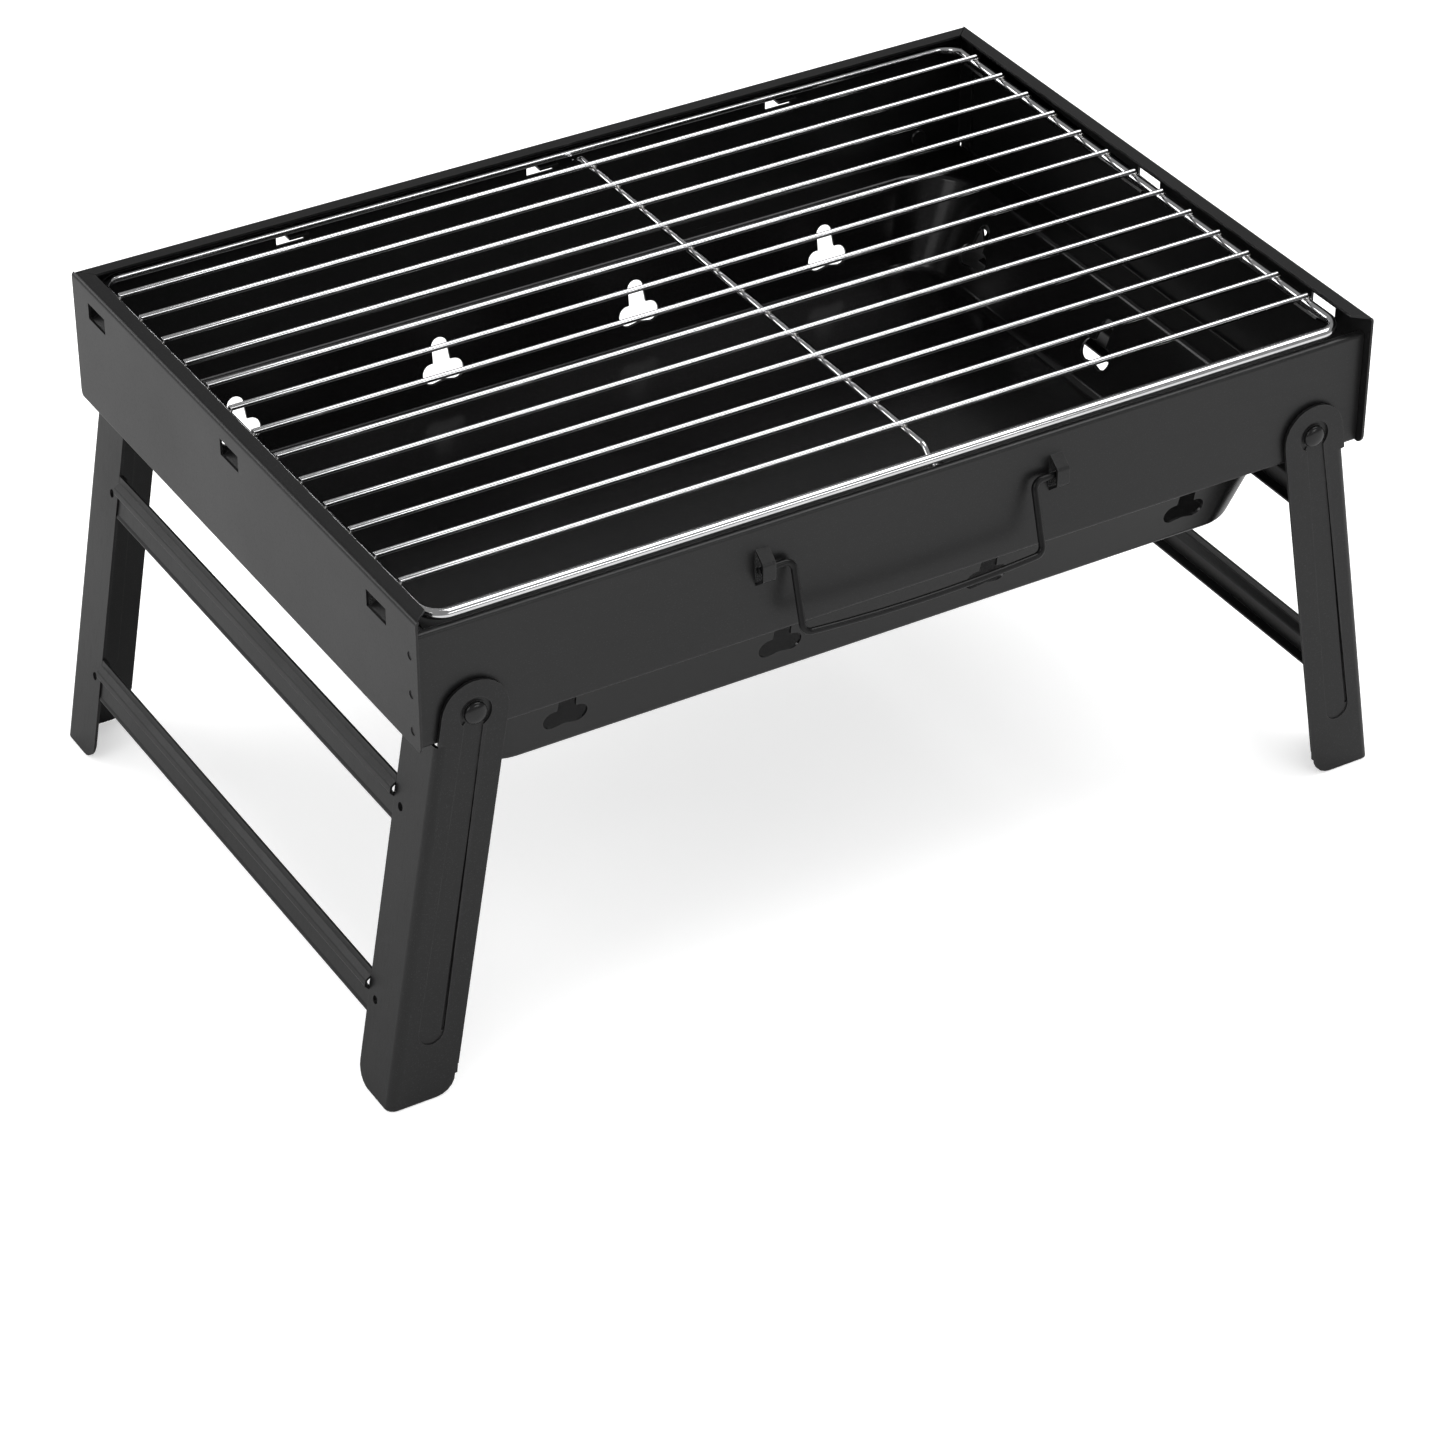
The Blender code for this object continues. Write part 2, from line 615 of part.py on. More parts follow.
def leg(side, front, mat):
    wall, inner, outer, inward = leg_planes(front)
    to_world = leg_frame(side)
    length = PIVOT_Z / math.cos(LEG_SPLAY) + LEG_EXTRA
    drop = PIVOT_Z - CASE_BOTTOM + FLANGE_TOP_DROP
    start = (drop - LEG_HALF_WIDTH * math.sin(LEG_SPLAY)) / math.cos(LEG_SPLAY)
    middle = (inner + outer) / 2.0
    flange_v = LEG_HALF_WIDTH - LEG_SHEET / 2.0
    section = ((-LEG_HALF_WIDTH, middle), (flange_v, middle),
               (flange_v, outer + inward * LEG_FLANGE))
    body = prism("leg", sheet_outline(section, LEG_SHEET, LEG_BEND),
                 lambda v, y, u: to_world(u, v, y), (start - 6.0, length))
    face_y = sorted((inner, outer))
    head = arc(0, 0, LEG_HALF_WIDTH, 180, 360, 14)
    tongue = LEG_HALF_WIDTH - TONGUE_INSET
    plate = [(v, u) for v, u in head]
    plate += [(LEG_HALF_WIDTH, start), (tongue, start + TONGUE), (-tongue, start + TONGUE), (-LEG_HALF_WIDTH, start)]
    behind = sorted((inner + inward * 0.05, outer + inward * LEG_FLANGE * 1.6))
    flange_cut = box("flange_cut", (-CASE_HALF_LENGTH - LEG_FLANGE, behind[0], CASE_BOTTOM - FLANGE_TOP_DROP),
                     (CASE_HALF_LENGTH + LEG_FLANGE, behind[1], CASE_TOP))
    ground = box("ground", (-400, -200, -60), (400, 200, 0))
    cut(body, flange_cut, ground)
    shoulder = prism("shoulder", [(v, u) for v, u in ((-20, -40), (20, -40), (20, start), (-20, start))],
                     lambda v, u, y: to_world(u, v, y), (face_y[0] - 1, face_y[1] + 1))
    cut(body, shoulder)
    plate_tool = prism("plate", plate, lambda v, u, y: to_world(u, v, y), face_y)
    pad_y = sorted((inner - inward * 0.3, inner + inward * RECESS_DEPTH))
    ring = arc(0, 0, RECESS_RING, 125, 415, 16)
    slot = arc(0, RECESS_END, RECESS_HALF, 0, 180, 8)
    shape = [(v, u) for v, u in slot] + [(v, u) for v, u in ring]
    grown = [(v * 1.08, u + (0.4 if u > RECESS_END else 0.0)) for v, u in shape]
    pad = prism("pad", grown, lambda v, u, y: to_world(u, v, y), pad_y)
    join(body, plate_tool, pad)
    pocket_y = sorted((outer - inward * 1.0, outer + inward * RECESS_DEPTH))
    pocket = prism("pocket", shape, lambda v, u, y: to_world(u, v, y), pocket_y)
    hole = prism("hole", circle(0, 0, LEG_HOLE, 14), lambda v, u, y: to_world(u, v, y),
                 (min(wall, outer) - 2, max(wall, outer) + 2))
    cut(body, pocket, hole)
    inner_x = to_world(0, -LEG_HALF_WIDTH, 0)
    slope = math.tan(LEG_SPLAY)
    foot_x = abs(inner_x[0]) + slope * inner_x[2]
    r = FOOT_RADIUS
    cheek = [(foot_x - 2, -1), (foot_x - 2, r + 6), (foot_x - slope * r, r)]
    cheek += arc(foot_x + r - 0.4, r, r, 180, 270, 5)
    cheek += [(foot_x + r, -1)]
    cheek_y = (min(inner, outer) - 1, max(inner, outer) + 1)
    free = outer + inward * LEG_FLANGE
    toe = [(free + inward * 1, -1), (free + inward * 1, r + 4), (free, r)]
    toe += [(free - inward * (r - r * math.cos(math.radians(a))), r - r * math.sin(math.radians(a)))
            for a in (15, 30, 45, 60, 75, 90)]
    toe += [(free - inward * r, -1)]
    toe_x = sorted((side * (foot_x + 14), side * (foot_x + 45)))
    low_cut = prism("cheek", [(side * x, z) for x, z in cheek], along_y, cheek_y)
    toe_cut = prism("toe", toe, along_x, toe_x)
    bolts = []
    for bar in CROSSBAR_START:
        spot = circle(bar + BOLT_HOLE_U, free - inward * TAB_OVERLAP * 0.5, BOLT_HOLE, 10)
        bolts.append(prism("bolt", spot, lambda u, y, v: to_world(u, v, y),
                           (LEG_HALF_WIDTH - 4, LEG_HALF_WIDTH + 3)))
    cut(body, low_cut, toe_cut, *bolts)
    place_origin(body, (side * PIVOT_X, 0.0, PIVOT_Z))
    name = ("left" if side < 0 else "right") + ("_front" if front else "_back") + "_leg"
    return finish(body, name, mat)


def crossbar(side, which, mat):
    """Beaded strip between two legs, with stepped-in end tabs inside the leg flanges."""
    to_world = leg_frame(side)
    start = CROSSBAR_START[which]
    outside = LEG_HALF_WIDTH
    line = outside - CROSSBAR_SHEET / 2.0
    edge = CROSSBAR_WIDTH - CROSSBAR_SHEET / 2.0
    section = [(CROSSBAR_SHEET / 2.0, line), (BEAD_CENTRE - BEAD_HALF - 0.6, line),
               (BEAD_CENTRE - BEAD_HALF * 0.45, line + BEAD_HEIGHT),
               (BEAD_CENTRE + BEAD_HALF * 0.45, line + BEAD_HEIGHT),
               (BEAD_CENTRE + BEAD_HALF + 0.6, line - BAR_SINK),
               (edge - BAR_RIM, line - BAR_SINK), (edge, line), (edge, line - BAR_LIP)]
    outline = [(start + u, v) for u, v in sheet_outline(section, CROSSBAR_SHEET, 0.8)]
    front_free = leg_planes(True)[2] + LEG_FLANGE
    back_free = leg_planes(False)[2] - LEG_FLANGE
    bar = prism("bar", outline, lambda u, v, y: to_world(u, v, y), (front_free + GAP, back_free - GAP))
    tab_top = outside - LEG_SHEET - GAP
    upper = start + BAR_TAB_TRIM
    lower = start + CROSSBAR_WIDTH - BAR_TAB_TRIM
    under = tab_top - CROSSBAR_SHEET
    tab = ((upper, under), (upper, tab_top), (lower, tab_top), (lower, under))
    pieces = []
    holes = []
    for free, sign in ((front_free, -1.0), (back_free, 1.0)):
        reach = sorted((free + sign * TAB_OVERLAP, free - sign * 3.0))
        pieces.append(prism("tab", tab, lambda u, v, y: to_world(u, v, y), reach))
        spot = circle(start + BOLT_HOLE_U, free + sign * TAB_OVERLAP * 0.5, BOLT_HOLE, 10)
        holes.append(prism("bolt", spot, lambda u, y, v: to_world(u, v, y), (outside - 4, outside + 2)))
    join(bar, *pieces)
    cut(bar, *holes)
    place_origin(bar, (side * PIVOT_X, 0.0, PIVOT_Z))
    name = ("left" if side < 0 else "right") + ("_upper" if which == 0 else "_lower") + "_crossbar"
    return finish(bar, name, mat)


def rivet(side, front, mat):
    """Domed head outside the leg, shank through leg and wall, flat tail inside the case."""
    wall, inner, outer, inward = leg_planes(front)
    seat = outer + inward * RECESS_DEPTH - inward * GAP
    inside = wall + inward * (SHEET + GAP)
    profile = [(0.0, seat - inward * RIVET_DOME)]
    for i in range(1, 5):
        angle = math.radians(90.0 * i / 4)
        profile.append((RIVET_HEAD * math.sin(angle), seat - inward * (RIVET_DOME * math.cos(angle))))
    end = inside + inward * RIVET_TAIL_HEIGHT
    profile += [(RIVET_SHANK, seat), (RIVET_SHANK, inside), (RIVET_TAIL, inside), (RIVET_TAIL - 0.3, end), (0.0, end)]
    bm = bmesh.new()
    steps = 16
    rings = []
    for radius, y in profile:
        if radius == 0.0:
            rings.append([bm.verts.new(Vector((side * PIVOT_X, y, PIVOT_Z)) * MM)])
            continue
        ring = []
        for k in range(steps):
            angle = 2.0 * math.pi * k / steps
            ring.append(bm.verts.new(Vector((side * PIVOT_X + radius * math.cos(angle), y,
                                             PIVOT_Z + radius * math.sin(angle))) * MM))
        rings.append(ring)
    for first, second in zip(rings, rings[1:]):
        for k in range(steps):
            m = (k + 1) % steps
            if len(first) == 1:
                bm.faces.new((first[0], second[m], second[k]))
            elif len(second) == 1:
                bm.faces.new((first[k], first[m], second[0]))
            else:
                bm.faces.new((first[k], first[m], second[m], second[k]))
    name = ("left" if side < 0 else "right") + ("_front" if front else "_back") + "_rivet"
    return object_from_bmesh(name, bm, mat, smooth=True)


def grate(mat):
    corner = FRAME_CORNER
    half = (FRAME_BACK - FRAME_FRONT) / 2.0
    centre = (FRAME_BACK + FRAME_FRONT) / 2.0
    loop = [(x, y + centre, FRAME_Z) for x, y in rounded_rectangle(FRAME_X, half, corner, ARC_STEPS)]
    pieces = [wire("grate_frame_wire", loop, FRAME_WIRE, mat, closed=True)]
    low = FRAME_Z - CROSS_DROP
    high = FRAME_Z + FRAME_WIRE - CROSS_WIRE
    straight = FRAME_WIRE + CROSS_WIRE
    soft = straight + CROSS_EASE
    ends = ((CROSS_FRONT, FRAME_FRONT, 1.0), (CROSS_BACK, FRAME_BACK, -1.0))
    halves = []
    for tip, run, way in ends:
        halves.append([(CROSS_X, tip, low), (CROSS_X, run + way * straight, low),
                       (CROSS_X, run + way * soft, low + CROSS_EASE * 0.4),
                       (CROSS_X, run + way * (straight + CROSS_BEND), high - CROSS_EASE * 0.4),
                       (CROSS_X, run + way * (soft + CROSS_BEND), high)])
    cross = halves[0] + halves[1][::-1]
    pieces.append(wire("grate_cross_wire", cross, CROSS_WIRE, mat))
    rod_z = FRAME_Z + FRAME_WIRE + ROD_WIRE + GAP
    for i in range(ROD_COUNT):
        y = ROD_FIRST_Y - i * ROD_PITCH
        name = "grate_rod_%02d" % (i + 1)
        pieces.append(eased_rod(name, (-ROD_END_X, y, rod_z), (ROD_END_X, y, rod_z), ROD_WIRE, mat))
    for piece in pieces:
        place_origin(piece, (0.0, FRAME_BACK, FRAME_Z))
    return pieces


def carry_handle(mat):
    """Bail wire: two stubs in the bridges, two short legs and a long run."""
    def at(x, drop):
        y = HANDLE_PIVOT_Y - drop * math.sin(HANDLE_REST)
        return (x, y, HANDLE_PIVOT_Z - drop * math.cos(HANDLE_REST))

    b = HANDLE_BEND
    points = [(-HANDLE_END_X, 0.0), (-HANDLE_LEG_X - b, 0.0)]
    turns = [math.radians(90.0 * k / BEND_STEPS) for k in range(1, BEND_STEPS + 1)]
    points += [(-HANDLE_LEG_X - b + b * math.sin(a), b - b * math.cos(a)) for a in turns]
    points += [(-HANDLE_LEG_X, HANDLE_DROP - b)]
    points += [(-HANDLE_LEG_X + b - b * math.cos(a), HANDLE_DROP - b + b * math.sin(a)) for a in turns]
    points += [(-x, drop) for x, drop in points[::-1]]
    middle = len(points) // 2
    inner = HANDLE_LEG_X - b
    bow = []
    for k in range(1 - BOW_STEPS, BOW_STEPS):
        t = k / BOW_STEPS
        bow.append((inner * t, HANDLE_DROP + HANDLE_BOW * (1.0 - t * t)))
    points[middle:middle] = bow
    handle = wire("carry_handle", [at(x, drop) for x, drop in points], HANDLE_WIRE, mat)
    place_origin(handle, (0.0, HANDLE_PIVOT_Y, HANDLE_PIVOT_Z))
    return handle


def build():
    clear_scene()
    case_paint = steel("black_powder_coat", (0.035, 0.034, 0.035), 0.0, 0.45)
    leg_paint = steel("black_leg_paint", (0.03, 0.029, 0.03), 0.0, 0.42)
    pan_enamel = steel("pan_enamel", (0.012, 0.012, 0.012), 0.0, 0.4)
    chrome = steel("grate_chrome", (0.82, 0.82, 0.82), 1.0, 0.16)
    handle_paint = steel("handle_black", (0.02, 0.02, 0.02), 0.0, 0.35)
    rivet_steel = steel("rivet_black", (0.05, 0.05, 0.05), 0.6, 0.35)
    front_wall(case_paint)
    back_wall(case_paint)
    for side in (-1, 1):
        end_wall(side, case_paint)
    charcoal_pan(pan_enamel)
    grate(chrome)
    for side in (-1, 1):
        for front in (True, False):
            leg(side, front, leg_paint)
            rivet(side, front, rivet_steel)
        for which in (0, 1):
            crossbar(side, which, leg_paint)
    carry_handle(handle_paint)


build()
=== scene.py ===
import math

import bmesh
import bpy
import numpy as np
from mathutils import Matrix, Vector


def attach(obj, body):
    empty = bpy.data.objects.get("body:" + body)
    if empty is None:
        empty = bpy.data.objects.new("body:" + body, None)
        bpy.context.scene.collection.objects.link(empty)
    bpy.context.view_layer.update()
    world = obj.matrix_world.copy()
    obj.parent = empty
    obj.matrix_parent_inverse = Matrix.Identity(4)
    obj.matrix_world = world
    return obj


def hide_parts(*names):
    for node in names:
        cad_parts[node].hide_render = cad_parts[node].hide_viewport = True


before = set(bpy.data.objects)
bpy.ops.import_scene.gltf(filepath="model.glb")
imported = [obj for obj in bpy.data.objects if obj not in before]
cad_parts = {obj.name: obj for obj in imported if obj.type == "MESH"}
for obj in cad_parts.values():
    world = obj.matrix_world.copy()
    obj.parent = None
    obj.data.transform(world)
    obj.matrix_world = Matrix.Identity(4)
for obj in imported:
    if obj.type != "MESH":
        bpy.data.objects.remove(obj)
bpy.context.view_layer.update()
print("frame loaded:", len(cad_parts), "nodes")

mm = 0.001
sides = {"left": -1, "right": 1}
# points closer than the weld distances, in metres, become one; faces flatter than flatAngle degrees join up
cleaning = {"weld": 1e-7, "copyWeld": 2e-6, "flatAngle": 0.5}


def meshFromGrid(name, points, wrapRows=False, wrapColumns=False, uv=None):
    # points is rows x columns x 3 in metres; each cell of the grid becomes one quad
    rows, columns = points.shape[:2]
    cellRows, cellColumns = rows - (not wrapRows), columns - (not wrapColumns)
    i, j = np.meshgrid(np.arange(cellRows), np.arange(cellColumns), indexing="ij")
    below, beside = (i + 1) % rows, (j + 1) % columns
    here, under = i * columns, below * columns
    quads = np.stack([here + j, here + beside, under + beside, under + j], -1)
    faces = quads.reshape(-1, 4).tolist()
    if wrapColumns and not wrapRows:
        faces.append(list(range(columns))[::-1])
        faces.append(list(range((rows - 1) * columns, rows * columns)))
    mesh = bpy.data.meshes.new(name)
    mesh.from_pydata(points.reshape(-1, 3).tolist(), [], faces)
    if uv is not None:  # uv holds one more row and column than a wrapped grid, so the seam isn't smeared
        corners = np.stack([uv[i, j], uv[i, j + 1], uv[i + 1, j + 1], uv[i + 1, j]], 2).reshape(-1, 2)
        layer = mesh.uv_layers.new(name="UVMap")
        flat = np.zeros((len(mesh.loops), 2), np.float32)
        flat[:len(corners)] = corners
        layer.data.foreach_set("uv", flat.ravel())
    mesh.update()
    return mesh


def closeMesh(mesh):
    # merge doubles, then turn every face outwards
    bm = bmesh.new()
    bm.from_mesh(mesh)
    bmesh.ops.remove_doubles(bm, verts=bm.verts, dist=cleaning["weld"])
    bmesh.ops.recalc_face_normals(bm, faces=bm.faces)
    bm.to_mesh(mesh)
    bm.free()
    return mesh


def addPiece(name, mesh, material, body, slot, nodes=(), sharp=None):
    piece = bpy.data.objects.new(name, mesh)
    bpy.context.scene.collection.objects.link(piece)
    mesh.materials.clear()
    mesh.materials.append(material)
    mesh.shade_smooth()
    if sharp is not None:
        mesh.set_sharp_from_angle(angle=math.radians(sharp))
    if nodes:
        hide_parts(*nodes)
    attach(piece, body)
    return piece


def softenEdges(piece, width, segments=2, angle=38):
    bevel = piece.modifiers.new("softEdge", "BEVEL")
    bevel.width = width * mm
    bevel.segments = segments
    bevel.limit_method = "ANGLE"
    bevel.angle_limit = math.radians(angle)
    bevel.use_clamp_overlap = True
    bevel.miter_outer = "MITER_ARC"
    weighted = piece.modifiers.new("flatFaces", "WEIGHTED_NORMAL")
    weighted.mode = "FACE_AREA"
    weighted.keep_sharp = False


def mergedCopy(node):
    # one solid with clean flat faces, from the node's loose triangles
    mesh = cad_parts[node].data.copy()
    bm = bmesh.new()
    bm.from_mesh(mesh)
    bmesh.ops.remove_doubles(bm, verts=bm.verts, dist=cleaning["copyWeld"])
    flat = math.radians(cleaning["flatAngle"])
    bmesh.ops.dissolve_limit(bm, angle_limit=flat, verts=[], edges=bm.edges)
    bm.to_mesh(mesh)
    bm.free()
    return mesh


def filletedPath(corners, radii, steps):
    # straight runs joined by circular arcs; each corner is swept by one cosine and sine pair
    corners = [np.array(c, float) for c in corners]
    path = [corners[0][None]]
    for k in range(1, len(corners) - 1):
        into = corners[k - 1] - corners[k]
        out = corners[k + 1] - corners[k]
        into, out = into / np.linalg.norm(into), out / np.linalg.norm(out)
        half = math.acos(np.clip(into @ out, -1, 1)) / 2
        middle = (into + out) / np.linalg.norm(into + out)
        centre = corners[k] + middle * radii[k - 1] / math.sin(half)
        across = (out - into) / np.linalg.norm(out - into)
        swing = np.linspace(-1, 1, steps + 1)[:, None] * (math.pi / 2 - half)
        path.append(centre - middle * radii[k - 1] * np.cos(swing) + across * radii[k - 1] * np.sin(swing))
    path.append(corners[-1][None])
    return np.concatenate(path)


def roundedLoop(halfX, halfY, radius, steps):
    # points of a rounded rectangle, anticlockwise, with steps + 1 points on each quarter circle
    angle = np.linspace(0, math.pi / 2, steps + 1)
    quarters = []
    for k, (sx, sy) in enumerate(((1, 1), (-1, 1), (-1, -1), (1, -1))):
        turn = angle + k * math.pi / 2
        quarters.append(np.stack([sx * (halfX - radius) + radius * np.cos(turn),
                                  sy * (halfY - radius) + radius * np.sin(turn)], -1))
    return np.concatenate(quarters)


def wireMesh(name, path, binormal, radius, around, closed=False, easing=0.0):
    # a ring square to the path at every point: centre + radius * (cos a * side + sin a * lift)
    path = np.asarray(path, float)
    if not closed and easing > 0:  # a few extra rings near each cut end, drawn in on a quarter circle
        first = (path[1] - path[0]) / np.linalg.norm(path[1] - path[0])
        last = (path[-1] - path[-2]) / np.linalg.norm(path[-1] - path[-2])
        quarter = np.linspace(0, math.pi / 2, 5)[1:]
        reach = easing * (1 - np.cos(quarter))[:, None]
        shrink = easing * (1 - np.sin(quarter))
        start, end = path[0] + first * reach, path[-1] - last * reach[::-1]
        plain = np.full(len(path) - 2, radius)
        path = np.concatenate([path[:1], start, path[1:-1], end, path[-1:]])
        tip = [radius - easing]
        size = np.concatenate([tip, radius - shrink, plain, radius - shrink[::-1], tip])
    else:
        size = np.full(len(path), radius)
    tangent = np.roll(path, -1, 0) - np.roll(path, 1, 0) if closed else np.gradient(path, axis=0)
    tangent = tangent / np.linalg.norm(tangent, axis=1, keepdims=True)
    side = np.cross(np.array(binormal, float), tangent)
    side = side / np.linalg.norm(side, axis=1, keepdims=True)
    lift = np.cross(tangent, side)
    turn = np.linspace(0, 2 * math.pi, around + 1)
    angle = turn[:-1]
    ring = np.cos(angle)[None, :, None] * side[:, None] + np.sin(angle)[None, :, None] * lift[:, None]
    points = path[:, None] + ring * size[:, None, None]
    walk = np.linalg.norm(np.diff(np.concatenate([path, path[:1]]), axis=0), axis=1)
    along = np.concatenate([[0], np.cumsum(walk)])
    uv = np.stack(np.meshgrid(along, turn * radius, indexing="ij"), -1)
    return meshFromGrid(name, points * mm, wrapRows=closed, wrapColumns=True, uv=uv * mm)


def lathedMesh(name, profile, centre, outward, around=40):
    # profile rows are (radius, height); every row is turned about an axis along Y
    profile = np.array(profile, float)
    angle = np.linspace(0, 2 * math.pi, around, endpoint=False)
    x = profile[:, :1] * np.cos(angle)
    z = profile[:, :1] * np.sin(angle)
    y = np.repeat(profile[:, 1:], around, 1) * outward
    points = np.stack([x, y, z], -1) + np.array(centre)
    return closeMesh(meshFromGrid(name, points * mm, wrapColumns=True))


def newGroup(name, inputs, outputs):
    # inputs give each socket's kind; every output is a plain number
    group = bpy.data.node_groups.new(name, "ShaderNodeTree")
    for label, kind in inputs.items():
        group.interface.new_socket(label, in_out="INPUT", socket_type="NodeSocket" + kind)
    for label in outputs:
        group.interface.new_socket(label, in_out="OUTPUT", socket_type="NodeSocketFloat")
    return group, group.nodes.new("NodeGroupInput"), group.nodes.new("NodeGroupOutput")


def noiseAt(tree, vector, scale, detail, roughness=0.5):
    node = tree.nodes.new("ShaderNodeTexNoise")
    node.inputs["Detail"].default_value = detail
    node.inputs["Roughness"].default_value = roughness
    tree.links.new(vector, node.inputs["Vector"])
    if isinstance(scale, (int, float)):
        node.inputs["Scale"].default_value = scale
    else:
        tree.links.new(scale, node.inputs["Scale"])
    return node.outputs["Fac"]


def mathNode(tree, operation, first, second=None, third=None, clamp=False):
    node = tree.nodes.new("ShaderNodeMath")
    node.operation = operation
    node.use_clamp = clamp
    for k, value in enumerate((first, second, third)):
        if value is None:
            continue
        if isinstance(value, (int, float)):
            node.inputs[k].default_value = value
        else:
            tree.links.new(value, node.inputs[k])
    return node.outputs[0]


def rangeNode(tree, value, low, high, toLow, toHigh):
    node = tree.nodes.new("ShaderNodeMapRange")
    labels = ("Value", "From Min", "From Max", "To Min", "To Max")
    for label, item in zip(labels, (value, low, high, toLow, toHigh)):
        if isinstance(item, (int, float)):
            node.inputs[label].default_value = item
        else:
            tree.links.new(item, node.inputs[label])
    return node.outputs["Result"]


def mixColour(tree, factor, first, second):
    node = tree.nodes.new("ShaderNodeMix")
    node.data_type = "RGBA"
    for socket, item in ((node.inputs[0], factor), (node.inputs[6], first), (node.inputs[7], second)):
        if isinstance(item, (int, float, tuple)):
            socket.default_value = item
        else:
            tree.links.new(item, socket)
    return node.outputs[2]


peelSet = {"grainDetail": 2.0, "grainRough": 0.45, "slowScale": 0.22, "slowDetail": 1.0, "slowWeight": 0.9,
           "cloudDetail": 4.0, "cloudRough": 0.6, "speckScale": 2.1, "speckDetail": 0.0,
           "speckFrom": (0.66, 0.78)}


def orangePeelGroup():
    # fine pebbled skin of a baked coat, plus broad unevenness of its film
    s = peelSet
    inputs = {"Vector": "Vector", "Grain Scale": "Float", "Cloud Scale": "Float"}
    group, gin, gout = newGroup("orangePeel", inputs, ("Height", "Cloud", "Speck"))
    vector, scale = gin.outputs["Vector"], gin.outputs["Grain Scale"]
    grain = noiseAt(group, vector, scale, s["grainDetail"], s["grainRough"])
    slow = noiseAt(group, vector, mathNode(group, "MULTIPLY", scale, s["slowScale"]), s["slowDetail"])
    height = mathNode(group, "MULTIPLY_ADD", slow, s["slowWeight"], grain)
    cloud = noiseAt(group, vector, gin.outputs["Cloud Scale"], s["cloudDetail"], s["cloudRough"])
    speck = noiseAt(group, vector, mathNode(group, "MULTIPLY", scale, s["speckScale"]), s["speckDetail"])
    group.links.new(height, gout.inputs["Height"])
    group.links.new(cloud, gout.inputs["Cloud"])
    group.links.new(rangeNode(group, speck, *s["speckFrom"], 0.0, 1.0), gout.inputs["Speck"])
    return group


# mask settings for the painted highlight at edges and folds
edgeHighlightSet = {"samples": 6, "apart": (0.985, 0.8), "detail": 3.0, "rough": 0.65, "breakup": (0.36, 0.62),
           "least": 0.25}


def paintedEdgeHighlightGroup():
    # compares the true normal with one rounded over a small radius: they part at edges and folds, and this
    # mask places the painted edge highlight there
    s = edgeHighlightSet
    inputs = {"Vector": "Vector", "Radius": "Float", "Breakup": "Float"}
    group, gin, gout = newGroup("paintedEdgeHighlight", inputs, ("Mask",))
    bevel = group.nodes.new("ShaderNodeBevel")
    bevel.samples = s["samples"]
    group.links.new(gin.outputs["Radius"], bevel.inputs["Radius"])
    geometry = group.nodes.new("ShaderNodeNewGeometry")
    dot = group.nodes.new("ShaderNodeVectorMath")
    dot.operation = "DOT_PRODUCT"
    group.links.new(bevel.outputs["Normal"], dot.inputs[0])
    group.links.new(geometry.outputs["Normal"], dot.inputs[1])
    turned = rangeNode(group, dot.outputs["Value"], *s["apart"], 0.0, 1.0)
    noise = noiseAt(group, gin.outputs["Vector"], gin.outputs["Breakup"], s["detail"], s["rough"])
    broken = rangeNode(group, noise, *s["breakup"], s["least"], 1.0)
    group.links.new(mathNode(group, "MULTIPLY", turned, broken, clamp=True), gout.inputs["Mask"])
    return group


hairSet = {"detail": 3.0, "rough": 0.6, "peaks": (0.52, 0.72)}


def scratchGroup():
    # hairlines: noise stretched hard along one direction, kept only where it peaks
    s = hairSet
    inputs = {"Vector": "Vector", "Stretch": "Vector", "Amount": "Float"}
    group, gin, gout = newGroup("hairlines", inputs, ("Lines", "Height"))
    scaled = group.nodes.new("ShaderNodeVectorMath")
    scaled.operation = "MULTIPLY"
    group.links.new(gin.outputs["Vector"], scaled.inputs[0])
    group.links.new(gin.outputs["Stretch"], scaled.inputs[1])
    noise = noiseAt(group, scaled.outputs[0], 1.0, s["detail"], s["rough"])
    lines = rangeNode(group, noise, *s["peaks"], 0.0, 1.0)
    group.links.new(mathNode(group, "MULTIPLY", lines, gin.outputs["Amount"]), gout.inputs["Lines"])
    group.links.new(noise, gout.inputs["Height"])
    return group


groups = {"peel": orangePeelGroup(), "edgeHighlight": paintedEdgeHighlightGroup(), "hair": scratchGroup()}


def groupNode(tree, key, vector, **values):
    node = tree.nodes.new("ShaderNodeGroup")
    node.node_tree = groups[key]
    tree.links.new(vector, node.inputs["Vector"])
    for label, value in values.items():
        node.inputs[label].default_value = value
    return node


